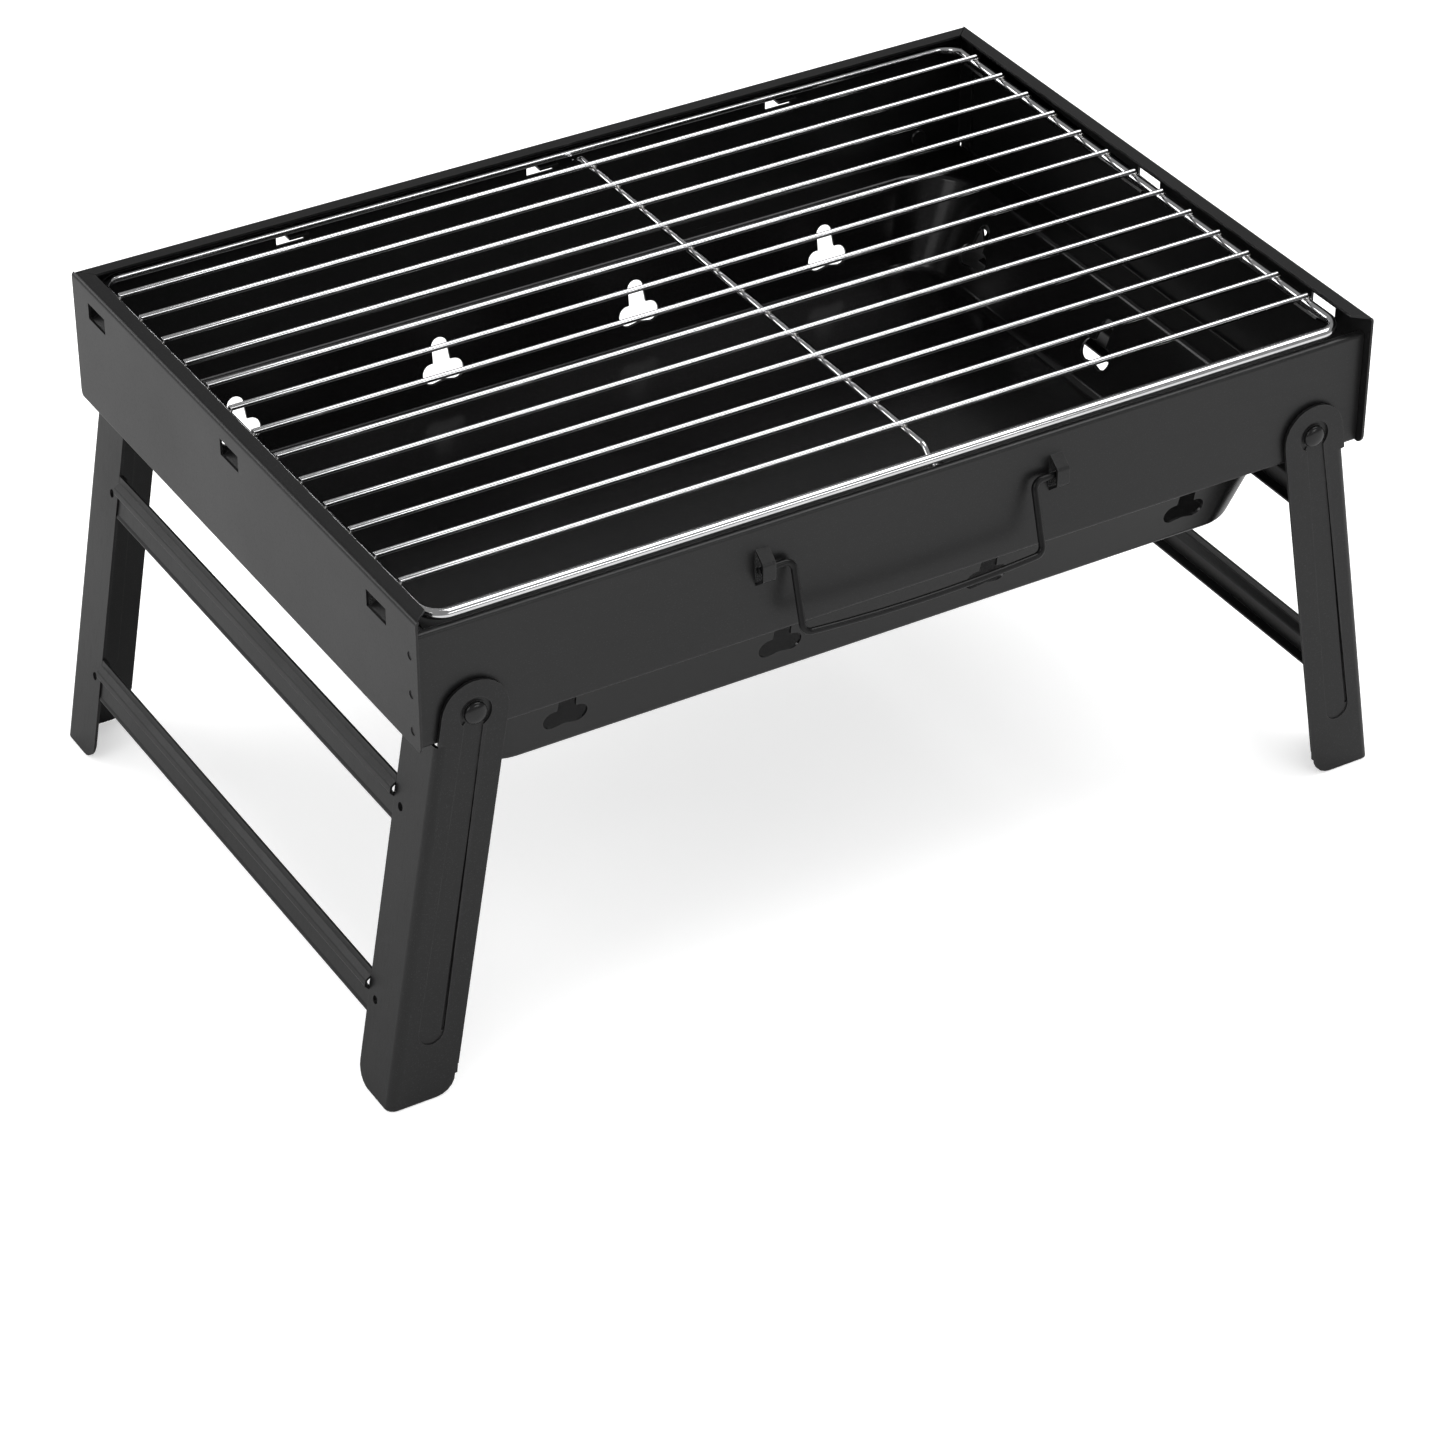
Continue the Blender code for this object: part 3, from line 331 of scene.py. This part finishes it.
def coatedSteel(name, look):
    # dark baked coat: colour clouded and specked, with a painted highlight that makes it a little paler at
    # edges and folds, pebbled by a bump
    mat = bpy.data.materials.new(name)
    mat.use_nodes = True
    tree = mat.node_tree
    shader = tree.nodes["Principled BSDF"]
    shader.inputs["IOR"].default_value = look["ior"]
    shader.inputs["Specular IOR Level"].default_value = look["specular"]
    vector = tree.nodes.new("ShaderNodeTexCoord").outputs["Object"]
    peel = groupNode(tree, "peel", vector, **{"Grain Scale": look["grain"], "Cloud Scale": look["cloud"]})
    edgeHighlight = groupNode(tree, "edgeHighlight", vector, Radius=look["edgeHighlightRadius"] * mm, Breakup=look["edgeHighlightBreakup"])
    hair = groupNode(tree, "hair", vector, Stretch=look["stretch"], Amount=look["hair"])
    cloud = rangeNode(tree, peel.outputs["Cloud"], *look["clouded"], 0.0, 1.0)
    base = mixColour(tree, cloud, look["dark"], look["light"])
    speck = mathNode(tree, "MULTIPLY", peel.outputs["Speck"], look["speck"])
    specked = mixColour(tree, speck, base, look["fleck"])
    # painted highlight: at edges and folds the coat's colour is mixed towards a paler grey, broken up by
    # noise
    edge = mathNode(tree, "MULTIPLY", edgeHighlight.outputs["Mask"], look["edgeHighlight"])
    tree.links.new(mixColour(tree, edge, specked, look["edgeHighlightColour"]), shader.inputs["Base Color"])
    rough = rangeNode(tree, peel.outputs["Cloud"], *look["clouded"], *look["rough"])
    rough = mathNode(tree, "MULTIPLY_ADD", hair.outputs["Lines"], look["hairRough"], rough)
    rough = mathNode(tree, "MULTIPLY_ADD", edge, look["edgeHighlightRough"], rough, clamp=True)
    tree.links.new(rough, shader.inputs["Roughness"])
    bump = tree.nodes.new("ShaderNodeBump")
    bump.inputs["Distance"].default_value = look["bump"] * mm
    bump.inputs["Strength"].default_value = look["bumpStrength"]
    tree.links.new(peel.outputs["Height"], bump.inputs["Height"])
    tree.links.new(bump.outputs["Normal"], shader.inputs["Normal"])
    return mat


def platedWire(name, look):
    # bright plating: near white, drawn lines along the wire, dull bloom in patches
    mat = bpy.data.materials.new(name)
    mat.use_nodes = True
    tree = mat.node_tree
    shader = tree.nodes["Principled BSDF"]
    shader.inputs["Metallic"].default_value = 1.0
    vector = tree.nodes.new("ShaderNodeTexCoord").outputs["UV" if look["useUv"] else "Object"]
    peel = groupNode(tree, "peel", vector, **{"Grain Scale": look["grain"], "Cloud Scale": look["cloud"]})
    hair = groupNode(tree, "hair", vector, Stretch=look["stretch"], Amount=look["hair"])
    bloom = rangeNode(tree, peel.outputs["Cloud"], *look["bloom"], 0.0, 1.0)
    base = mixColour(tree, bloom, look["light"], look["dull"])
    shown = mathNode(tree, "MULTIPLY", hair.outputs["Lines"], look["lineStrength"])
    lined = mixColour(tree, shown, base, look["line"])
    tree.links.new(lined, shader.inputs["Base Color"])
    rough = rangeNode(tree, peel.outputs["Cloud"], *look["clouded"], *look["rough"])
    rough = mathNode(tree, "MULTIPLY_ADD", hair.outputs["Lines"], look["hairRough"], rough, clamp=True)
    tree.links.new(rough, shader.inputs["Roughness"])
    bump = tree.nodes.new("ShaderNodeBump")
    bump.inputs["Distance"].default_value = look["bump"] * mm
    bump.inputs["Strength"].default_value = look["bumpStrength"]
    tree.links.new(hair.outputs["Height"], bump.inputs["Height"])
    tree.links.new(bump.outputs["Normal"], shader.inputs["Normal"])
    return mat


# colours are linear red, green, blue, alpha; scales are per metre; bumps and radii in millimetres
# each look's paler edge colour is a painted highlight at edges and folds
coatLook = {"dark": (0.0048, 0.0048, 0.005, 1), "light": (0.0082, 0.0081, 0.0083, 1),
            "fleck": (0.05, 0.05, 0.052, 1), "edgeHighlightColour": (0.06, 0.059, 0.059, 1), "speck": 0.25, "edgeHighlight": 0.45,
            "edgeHighlightRadius": 0.7, "edgeHighlightBreakup": 140.0, "grain": 950.0, "cloud": 11.0,
            "stretch": (30.0, 900.0, 900.0), "hair": 0.25, "rough": (0.33, 0.41), "bump": 0.05,
            "bumpStrength": 0.32, "ior": 1.5, "specular": 0.46, "clouded": (0.3, 0.7), "hairRough": 0.18,
            "edgeHighlightRough": -0.08}
legLook = {**coatLook, "dark": (0.0045, 0.0045, 0.0047, 1), "light": (0.0078, 0.0077, 0.0079, 1),
           "grain": 1100.0, "cloud": 17.0, "stretch": (900.0, 900.0, 40.0), "rough": (0.34, 0.43),
           "edgeHighlight": 0.5, "specular": 0.42}
# the pan's black is darker than the case's coat: partly its own enamel, partly painted shade for the dark
# deep inside of the pan
panLook = {**coatLook, "dark": (0.0022, 0.0022, 0.0023, 1), "light": (0.004, 0.0039, 0.004, 1),
           "fleck": (0.02, 0.02, 0.02, 1), "grain": 520.0, "cloud": 8.0, "rough": (0.16, 0.27),
           "bump": 0.03, "bumpStrength": 0.15, "edgeHighlight": 0.4, "hair": 0.15, "stretch": (16.0, 500.0, 500.0)}
handleLook = {**coatLook, "dark": (0.003, 0.003, 0.0032, 1), "light": (0.005, 0.0049, 0.005, 1),
              "specular": 0.3, "grain": 1500.0, "cloud": 40.0, "rough": (0.27, 0.34), "edgeHighlight": 0.3,
              "edgeHighlightRadius": 0.4}
rivetLook = {**coatLook, "dark": (0.005, 0.005, 0.0052, 1), "light": (0.009, 0.0088, 0.009, 1),
             "grain": 1700.0, "cloud": 120.0, "rough": (0.16, 0.24), "edgeHighlight": 0.5, "edgeHighlightRadius": 0.5,
             "edgeHighlightColour": (0.12, 0.118, 0.115, 1)}
chromeLook = {"light": (0.93, 0.93, 0.935, 1), "dull": (0.82, 0.825, 0.84, 1), "line": (0.62, 0.62, 0.63, 1),
              "grain": 800.0, "cloud": 90.0, "stretch": (60.0, 2600.0, 2600.0), "hair": 0.4,
              "rough": (0.09, 0.15), "bump": 0.008, "bumpStrength": 0.35, "clouded": (0.3, 0.7),
              "bloom": (0.32, 0.68), "lineStrength": 0.5, "hairRough": 0.12, "useUv": True}
weldLook = {**chromeLook, "light": (0.8, 0.79, 0.77, 1), "dull": (0.6, 0.58, 0.55, 1), "rough": (0.16, 0.3),
            "stretch": (900.0, 900.0, 900.0), "useUv": False}

coat = coatedSteel("caseCoat", coatLook)
legCoat = coatedSteel("legCoat", legLook)
panCoat = coatedSteel("panEnamel", panLook)
handleCoat = coatedSteel("handleCoat", handleLook)
rivetCoat = coatedSteel("rivetCoat", rivetLook)
chrome = platedWire("platedWire", chromeLook)
weldMetal = platedWire("weldMetal", weldLook)
print("materials ready")


caseShape = {"edge": 0.28}
for side in ("front", "back", "left", "right"):
    node = "case_%s_wall" % side
    wall = addPiece(side + "Wall", mergedCopy(node), coat, "case", "black_powder_coat", (node,))
    softenEdges(wall, caseShape["edge"])
print("case walls ready")


# profile rows are half length, half depth, corner radius and height, all in millimetres
panShape = {"centreY": 1.85, "cornerSteps": 14, "bendSteps": 6, "edge": 0.22,
            "rollUnder": (1.7, 2.4), "rollInside": (2.0, 2.4),
            "under": ((202.1, 137.2, 3.0, 155.8), (189.3, 125.5, 26.6, 155.8), (171.1, 116.5, 19.0, 119.0),
                      (165.5, 111.5, 15.0, 118.5)),
            "inside": ((202.1, 137.2, 3.0, 156.8), (188.4, 124.8, 26.0, 156.8), (170.2, 115.5, 18.0, 120.0),
                       (165.5, 111.0, 14.0, 119.5))}
ventShape = {"pitch": 91.0, "base": 128.3, "lobe": 4.2, "lobeReach": 5.0, "stem": 3.9, "head": 3.8,
             "headRise": 14.5, "dip": 0.9, "lobeSteps": 12, "headSteps": 20, "shiftBack": -11.8,
             "shiftFront": 2.4, "shiftEnd": 4.3, "cutLong": (100.0, 134.0), "cutEnd": (155.0, 196.0)}


def roundedProfile(rows, roll, steps):
    # each inner corner of the profile is a quadratic curve between points a short way along its two runs
    rows = np.array(rows, float)
    t = np.linspace(0, 1, steps + 1)[:, None]
    parts = [rows[:1]]
    for k in range(1, len(rows) - 1):
        before, after = rows[k - 1] - rows[k], rows[k + 1] - rows[k]
        start = rows[k] + before * roll[k - 1] / np.linalg.norm(before[[0, 3]])
        end = rows[k] + after * roll[k - 1] / np.linalg.norm(after[[0, 3]])
        parts.append((1 - t) ** 2 * start + 2 * t * (1 - t) * rows[k] + t ** 2 * end)
    parts.append(rows[-1:])
    return np.concatenate(parts)


def arcPoints(across, up, radius, first, last, count):
    turn = np.radians(np.linspace(first, last, count))
    return np.stack([across + radius * np.cos(turn), up + radius * np.sin(turn)], -1)


def prismTool(ends):
    # two matching outlines, closed at both ends, linked so that a boolean can use them
    mesh = closeMesh(meshFromGrid("tool", np.stack(ends) * mm, wrapColumns=True))
    tool = bpy.data.objects.new("tool", mesh)
    bpy.context.scene.collection.objects.link(tool)
    return tool


def ventPrism(centre, axis, low, high):
    # two round lobes, a stem and a round head, pushed through the pan's wall
    s = ventShape
    lobe, reach, steps = s["lobe"], s["lobeReach"], s["lobeSteps"]
    outline = np.concatenate([arcPoints(-reach, lobe, lobe, 270, 90, steps), [[-s["stem"], 2 * lobe]],
                              arcPoints(0, s["headRise"], s["head"], 200, -20, s["headSteps"]),
                              [[s["stem"], 2 * lobe]], arcPoints(reach, lobe, lobe, 90, -90, steps),
                              [[0.0, s["dip"]]]])
    a, b = (outline + np.array([centre, s["base"]])).T
    ends = []
    for depth in (low, high):
        far = np.full_like(a, depth)
        ends.append(np.stack((a, far, b) if axis == "y" else (far, a, b), -1))
    return prismTool(ends)


def cutMesh(name, mesh, tools):
    # takes every tool out of the mesh, one exact boolean each, and clears them away
    body = bpy.data.objects.new(name, mesh)
    bpy.context.scene.collection.objects.link(body)
    for tool in tools:
        cut = body.modifiers.new("cut", "BOOLEAN")
        cut.operation, cut.solver, cut.object = "DIFFERENCE", "EXACT", tool
    result = bpy.data.meshes.new_from_object(body.evaluated_get(bpy.context.evaluated_depsgraph_get()))
    for old in [body, *tools]:
        bpy.data.objects.remove(old, do_unlink=True)
    return result


def panMesh():
    # ring k of the profile, swept round a rounded rectangle whose halves and corner radius that ring sets
    s, v = panShape, ventShape
    under = roundedProfile(s["under"], s["rollUnder"], s["bendSteps"])
    inside = roundedProfile(s["inside"], s["rollInside"], s["bendSteps"])
    rings = np.concatenate([under[::-1], inside])
    loops = np.stack([roundedLoop(hx, hy, r, s["cornerSteps"]) for hx, hy, r in rings[:, :3]])
    points = np.concatenate([loops, np.repeat(rings[:, 3][:, None, None], loops.shape[1], 1)], -1)
    points[..., 1] += s["centreY"]
    mesh = closeMesh(meshFromGrid("charcoalPan", points * mm, wrapColumns=True))
    tools = []
    for sign in (-1, 1):
        shift = v["shiftBack"] if sign > 0 else v["shiftFront"]
        reach = sorted(sign * d for d in v["cutLong"])
        tools += [ventPrism(shift + k * v["pitch"], "y", *reach) for k in (-1.5, -0.5, 0.5, 1.5)]
        shift = s["centreY"] - sign * v["shiftEnd"]
        reach = sorted(sign * d for d in v["cutEnd"])
        tools += [ventPrism(shift + k * v["pitch"], "x", *reach) for k in (-1, 0, 1)]
    return cutMesh("panShell", mesh, tools)


pan = addPiece("charcoalPan", panMesh(), panCoat, "pan", "pan_enamel", ("charcoal_pan",))
softenEdges(pan, panShape["edge"], angle=50)
print("pan ready")


grateShape = {"frameX": 196.0, "front": -134.2, "back": 138.6, "z": 205.0, "corner": 9.0, "cornerSteps": 16,
              "frameWire": 2.0, "rodWire": 1.15, "rods": 13, "firstY": 119.4, "pitch": 19.3, "rodEnd": 195.8,
              "gap": 0.3, "crossX": 13.0, "crossWire": 1.25, "drop": 3.7, "crossFront": -134.9,
              "crossBack": 139.4, "bend": 5.0, "soft": 1.2, "bendRadius": 3.5, "bendSteps": 6, "tip": 0.4,
              "frameSides": 28, "crossSides": 24, "rodSides": 20,
              "nub": (1.7, 1.0, 0.8), "nubSink": 0.12, "nubRings": 7, "nubSides": 12, "nubPole": 0.12}


def buildGrate():
    s = grateShape
    platedPiece = {"material": chrome, "body": "grate", "slot": "grate_chrome"}
    middle, half = (s["front"] + s["back"]) / 2, (s["back"] - s["front"]) / 2
    loop = roundedLoop(s["frameX"], half, s["corner"], s["cornerSteps"])
    loop = np.concatenate([loop + np.array([0, middle]), np.full((len(loop), 1), s["z"])], -1)
    mesh = wireMesh("grateFrame", loop, (0, 0, 1), s["frameWire"], s["frameSides"], closed=True)
    addPiece("grateFrame", mesh, nodes=("grate_frame_wire",), **platedPiece)
    low = s["z"] - s["drop"]
    high = s["z"] + s["frameWire"] - s["crossWire"]
    straight = s["frameWire"] + s["crossWire"] + s["soft"] / 2
    halves = [[(s["crossX"], tip, low), (s["crossX"], run + way * straight, low),
               (s["crossX"], run + way * (straight + s["bend"]), high)]
              for tip, run, way in ((s["crossFront"], s["front"], 1), (s["crossBack"], s["back"], -1))]
    path = filletedPath(halves[0] + halves[1][::-1], (s["bendRadius"],) * 4, s["bendSteps"])
    mesh = wireMesh("grateCrossWire", path, (1, 0, 0), s["crossWire"], s["crossSides"], easing=s["tip"])
    addPiece("grateCrossWire", mesh, nodes=("grate_cross_wire",), **platedPiece)
    rodZ = s["z"] + s["frameWire"] + s["rodWire"] + s["gap"]
    ys = s["firstY"] - np.arange(s["rods"]) * s["pitch"]
    for k, y in enumerate(ys):
        path = np.stack([np.linspace(-s["rodEnd"], s["rodEnd"], 5), np.full(5, y), np.full(5, rodZ)], -1)
        mesh = wireMesh("grateRod", path, (0, 0, 1), s["rodWire"], s["rodSides"], easing=s["tip"])
        addPiece("grateRod%02d" % (k + 1), mesh, nodes=("grate_rod_%02d" % (k + 1),), **platedPiece)
    # weld nubs: one flattened ball per crossing, all from a single ball grid moved to each crossing
    lat, lon = np.meshgrid(np.linspace(s["nubPole"], math.pi - s["nubPole"], s["nubRings"]),
                           np.linspace(0, 2 * math.pi, s["nubSides"], endpoint=False), indexing="ij")
    ball = np.stack([np.sin(lat) * np.cos(lon), np.sin(lat) * np.sin(lon), np.cos(lat)], -1)
    ball = ball * np.array(s["nub"])
    seat = s["z"] + s["frameWire"] + s["nubSink"]
    spots = np.array([(x, y, seat) for y in ys for x in (-s["frameX"], s["crossX"], s["frameX"])])
    bm = bmesh.new()
    for spot in spots:
        mesh = closeMesh(meshFromGrid("nub", (ball + spot) * mm, wrapColumns=True))
        bm.from_mesh(mesh)
        bpy.data.meshes.remove(mesh)
    nubs = bpy.data.meshes.new("grateWelds")
    bm.to_mesh(nubs)
    bm.free()
    addPiece("grateWelds", nubs, weldMetal, "grate", "grate_chrome")


buildGrate()
print("grate ready")


legShape = {"edge": 0.3, "barEdge": 0.22, "splay": 9.6, "pivot": (182.0, 164.5),
            "floor": {"front": -140.0, "back": 143.6}, "proud": 0.3, "grooveDepth": 0.5, "ring": (4.85, 6.5),
            "ringTurn": (132, 408), "ringSteps": 40, "channel": (4.0, 5.28), "channelEnd": 136.0}


def legTool(side, end, outline):
    # outline rows are (v across, u down the leg); the prism starts in the recess and goes into the sheet
    s = legShape
    sx, splay = sides[side], math.radians(s["splay"])
    inward = 1 if end == "front" else -1
    v, u = np.array(outline, float).T
    x = sx * (s["pivot"][0] + math.sin(splay) * u + math.cos(splay) * v)
    z = s["pivot"][1] - math.cos(splay) * u + math.sin(splay) * v
    ys = [s["floor"][end] + inward * depth for depth in (-s["proud"], s["grooveDepth"])]
    return prismTool([np.stack([x, np.full_like(x, y), z], -1) for y in ys])


def legMesh(side, end):
    # the recess is pressed deepest in a ring round the rivet and in a channel down one edge
    s = legShape
    turn = np.radians(np.linspace(*s["ringTurn"], s["ringSteps"]))
    rounds = [radius * np.stack([np.cos(turn), np.sin(turn)], -1) for radius in s["ring"]]
    ring = np.concatenate([rounds[0], rounds[1][::-1]])
    near, far = (sides[side] * w for w in s["channel"])
    top, foot = s["ring"][0], s["channelEnd"]
    channel = [(near, top), (far, top), (far, foot), (near, foot)]
    tools = [legTool(side, end, ring), legTool(side, end, channel)]
    return cutMesh("leg", mergedCopy("%s_%s_leg" % (side, end)), tools)


for side in sides:
    paintedPiece = {"material": legCoat, "body": side + "_legs", "slot": "black_leg_paint"}
    for end in ("front", "back"):
        node = "%s_%s_leg" % (side, end)
        leg = addPiece(side + end.capitalize() + "Leg", legMesh(side, end), nodes=(node,), **paintedPiece)
        softenEdges(leg, legShape["edge"], segments=3, angle=40)
    for level in ("upper", "lower"):
        node = "%s_%s_crossbar" % (side, level)
        name = side + level.capitalize() + "Crossbar"
        bar = addPiece(name, mergedCopy(node), nodes=(node,), **paintedPiece)
        softenEdges(bar, legShape["barEdge"], angle=50)


# the head sits outward of the wall's face by stand-off, leg sheet and clearance, less the depth of the recess
rivetShape = {"x": 182.0, "z": 164.5, "wall": {"front": -138.4, "back": 142.0}, "standOff": 0.9, "sheet": 1.2,
              "recess": 0.5, "clearance": 0.3, "head": 4.5, "dome": 2.2, "band": 0.25, "domeSteps": 12,
              "domeTurn": (1, 80), "shank": 2.5, "inside": -1.3, "tail": 3.9, "tailHeight": 1.0, "core": 0.05}


def buildRivets():
    # quarter ellipse dome, rounded rim, straight shank and a flat tail, turned about the rivet's axis
    s = rivetShape
    seat = s["standOff"] + s["sheet"] - s["recess"] + s["clearance"]
    head, tail, inside, foot = s["head"], s["tail"], s["inside"], s["inside"] - s["tailHeight"]
    t = np.radians(np.linspace(*s["domeTurn"], s["domeSteps"]))
    dome = np.stack([head * np.sin(t), seat + s["band"] + (s["dome"] - s["band"]) * np.cos(t)], -1)
    rim = [[head, seat + 0.35], [head, seat + 0.12], [head - 0.12, seat]]
    rest = [[s["shank"], seat], [s["shank"], inside], [tail - 0.15, inside], [tail, inside - 0.15],
            [tail - 0.1, inside - 0.7], [tail - 0.4, foot], [s["core"], foot]]
    profile = np.concatenate([dome, rim, rest])
    for end, wallY in s["wall"].items():
        for side, sx in sides.items():
            mesh = lathedMesh("rivet", profile, (sx * s["x"], wallY, s["z"]), -1 if end == "front" else 1)
            addPiece(side + end.capitalize() + "Rivet", mesh, rivetCoat, "case", "rivet_black",
                     ("%s_%s_rivet" % (side, end),), sharp=40)


buildRivets()
print("legs and rivets ready")


handleShape = {"endX": 66.9, "legX": 52.0, "drop": 28.5, "bow": 1.7, "bend": 3.6, "bendSteps": 10,
               "wire": 1.35, "pivot": (-140.9, 185.8), "tilt": 16.5, "tip": 0.4, "sides": 24, "bowSteps": 33}


def buildHandle():
    s = handleShape
    tilt = math.radians(s["tilt"])
    end, leg, drop = s["endX"], s["legX"], s["drop"]
    plan = [(-end, 0, 0), (-leg, 0, 0), (-leg, drop, 0), (leg, drop, 0), (leg, 0, 0), (end, 0, 0)]
    path = filletedPath(plan, (s["bend"],) * 4, s["bendSteps"])
    # the bottom run bows: its drop grows by bow * (1 - t squared), t from -1 to 1 along the run
    run = np.linspace(-1, 1, s["bowSteps"])[1:-1]
    middle = np.stack([(leg - s["bend"]) * run, drop + s["bow"] * (1 - run ** 2), 0 * run], -1)
    path = np.concatenate([path[:len(path) // 2], middle, path[len(path) // 2:]])
    x, d = path[:, 0], path[:, 1]
    path = np.stack([x, s["pivot"][0] - d * math.sin(tilt), s["pivot"][1] - d * math.cos(tilt)], -1)
    binormal = (0, math.cos(tilt), -math.sin(tilt))
    mesh = wireMesh("carryHandle", path, binormal, s["wire"], s["sides"], easing=s["tip"])
    addPiece("carryHandle", mesh, handleCoat, "handle", "handle_black", ("carry_handle",))


buildHandle()
print("handle ready")


# each soft box has its place, its two sizes in metres and its brightness
studio = {"floor": (0.9, 0.9, 0.9, 1), "floorSeen": (0.6, 0.6, 0.6, 1), "floorHalf": 9.0, "floorZ": -0.0006,
          "floorRough": 0.6, "floorSpecular": 0.1, "glow": (0.42, 0.42, 0.42, 1), "world": 1.0,
          "mirrored": 0.22, "aim": (0, 0, 0.15),
          "boxes": {"overhead": ((1.1, 0.05, 2.25), (1.7, 1.5), 3.0),
                    "frontBox": ((0.75, -2.3, 1.3), (1.3, 0.5), 2.8),
                    "backBox": ((-1.5, 1.9, 1.1), (1.2, 0.8), 3.0),
                    "leftBox": ((-2.2, -0.7, 1.7), (1.0, 1.4), 1.8)}}


def buildStudio():
    s = studio
    edge = [-s["floorHalf"], s["floorHalf"]]
    corners = np.stack(np.meshgrid(edge, edge, [s["floorZ"]], indexing="ij"), -1)[:, :, 0]
    mesh = closeMesh(meshFromGrid("floor", corners))
    floor = bpy.data.objects.new("floor", mesh)
    bpy.context.scene.collection.objects.link(floor)
    if mesh.polygons[0].normal.z < 0:
        mesh.flip_normals()
    # the floor looks white directly, but is a shade darker where the grill mirrors it
    mat = bpy.data.materials.new("paleFloor")
    mat.use_nodes = True
    tree = mat.node_tree
    shader = tree.nodes["Principled BSDF"]
    rays = tree.nodes.new("ShaderNodeLightPath")
    base = mixColour(tree, rays.outputs["Is Glossy Ray"], s["floor"], s["floorSeen"])
    tree.links.new(base, shader.inputs["Base Color"])
    seen = mixColour(tree, rays.outputs["Is Camera Ray"], (0, 0, 0, 1), s["glow"])
    tree.links.new(seen, shader.inputs["Emission Color"])
    shader.inputs["Emission Strength"].default_value = 1.0
    shader.inputs["Roughness"].default_value = s["floorRough"]
    shader.inputs["Specular IOR Level"].default_value = s["floorSpecular"]
    mesh.materials.append(mat)
    # the room lights evenly, but a mirror-like surface sees it dim, so only the soft boxes draw highlights
    world = bpy.data.worlds.new("studioWorld")
    world.use_nodes = True
    tree = world.node_tree
    rays = tree.nodes.new("ShaderNodeLightPath")
    strength = rangeNode(tree, rays.outputs["Is Glossy Ray"], 0.0, 1.0, s["world"], s["mirrored"])
    tree.nodes["Background"].inputs["Color"].default_value = (1, 1, 1, 1)
    tree.links.new(strength, tree.nodes["Background"].inputs["Strength"])
    bpy.context.scene.world = world
    for name, (place, size, glow) in s["boxes"].items():
        data = bpy.data.lights.new(name, "AREA")
        data.shape = "RECTANGLE"
        data.size, data.size_y = size
        data.energy = glow * size[0] * size[1] * math.pi
        lamp = bpy.data.objects.new(name, data)
        bpy.context.scene.collection.objects.link(lamp)
        lamp.location = place
        lamp.visible_camera = False
        lamp.rotation_mode = "QUATERNION"
        lamp.rotation_quaternion = (Vector(s["aim"]) - Vector(place)).to_track_quat("-Z", "Y")
    bpy.context.scene.view_settings.view_transform = "Standard"


buildStudio()

cameraSet = {"place": (-0.82324, -1.39091, 1.13598), "yaw": 30.685, "pitch": -34.822, "lens": 121.06,
             "sensor": 36.0, "clip": (0.05, 50)}


def buildCamera():
    # forward from yaw and pitch; the camera's own axes are right, up and backward
    s = cameraSet
    yaw, pitch = (math.radians(s[k]) for k in ("yaw", "pitch"))
    forward = Vector((math.sin(yaw) * math.cos(pitch), math.cos(yaw) * math.cos(pitch), math.sin(pitch)))
    right = Vector((math.cos(yaw), -math.sin(yaw), 0))
    data = bpy.data.cameras.new("camera")
    data.sensor_width = s["sensor"]
    data.lens = s["lens"]
    data.clip_start, data.clip_end = s["clip"]
    camera = bpy.data.objects.new("camera", data)
    bpy.context.scene.collection.objects.link(camera)
    basis = Matrix((right, right.cross(forward), -forward)).transposed().to_4x4()
    camera.matrix_world = Matrix.Translation(Vector(s["place"])) @ basis
    bpy.context.scene.camera = camera


buildCamera()
print("studio ready")

bpy.context.view_layer.update()
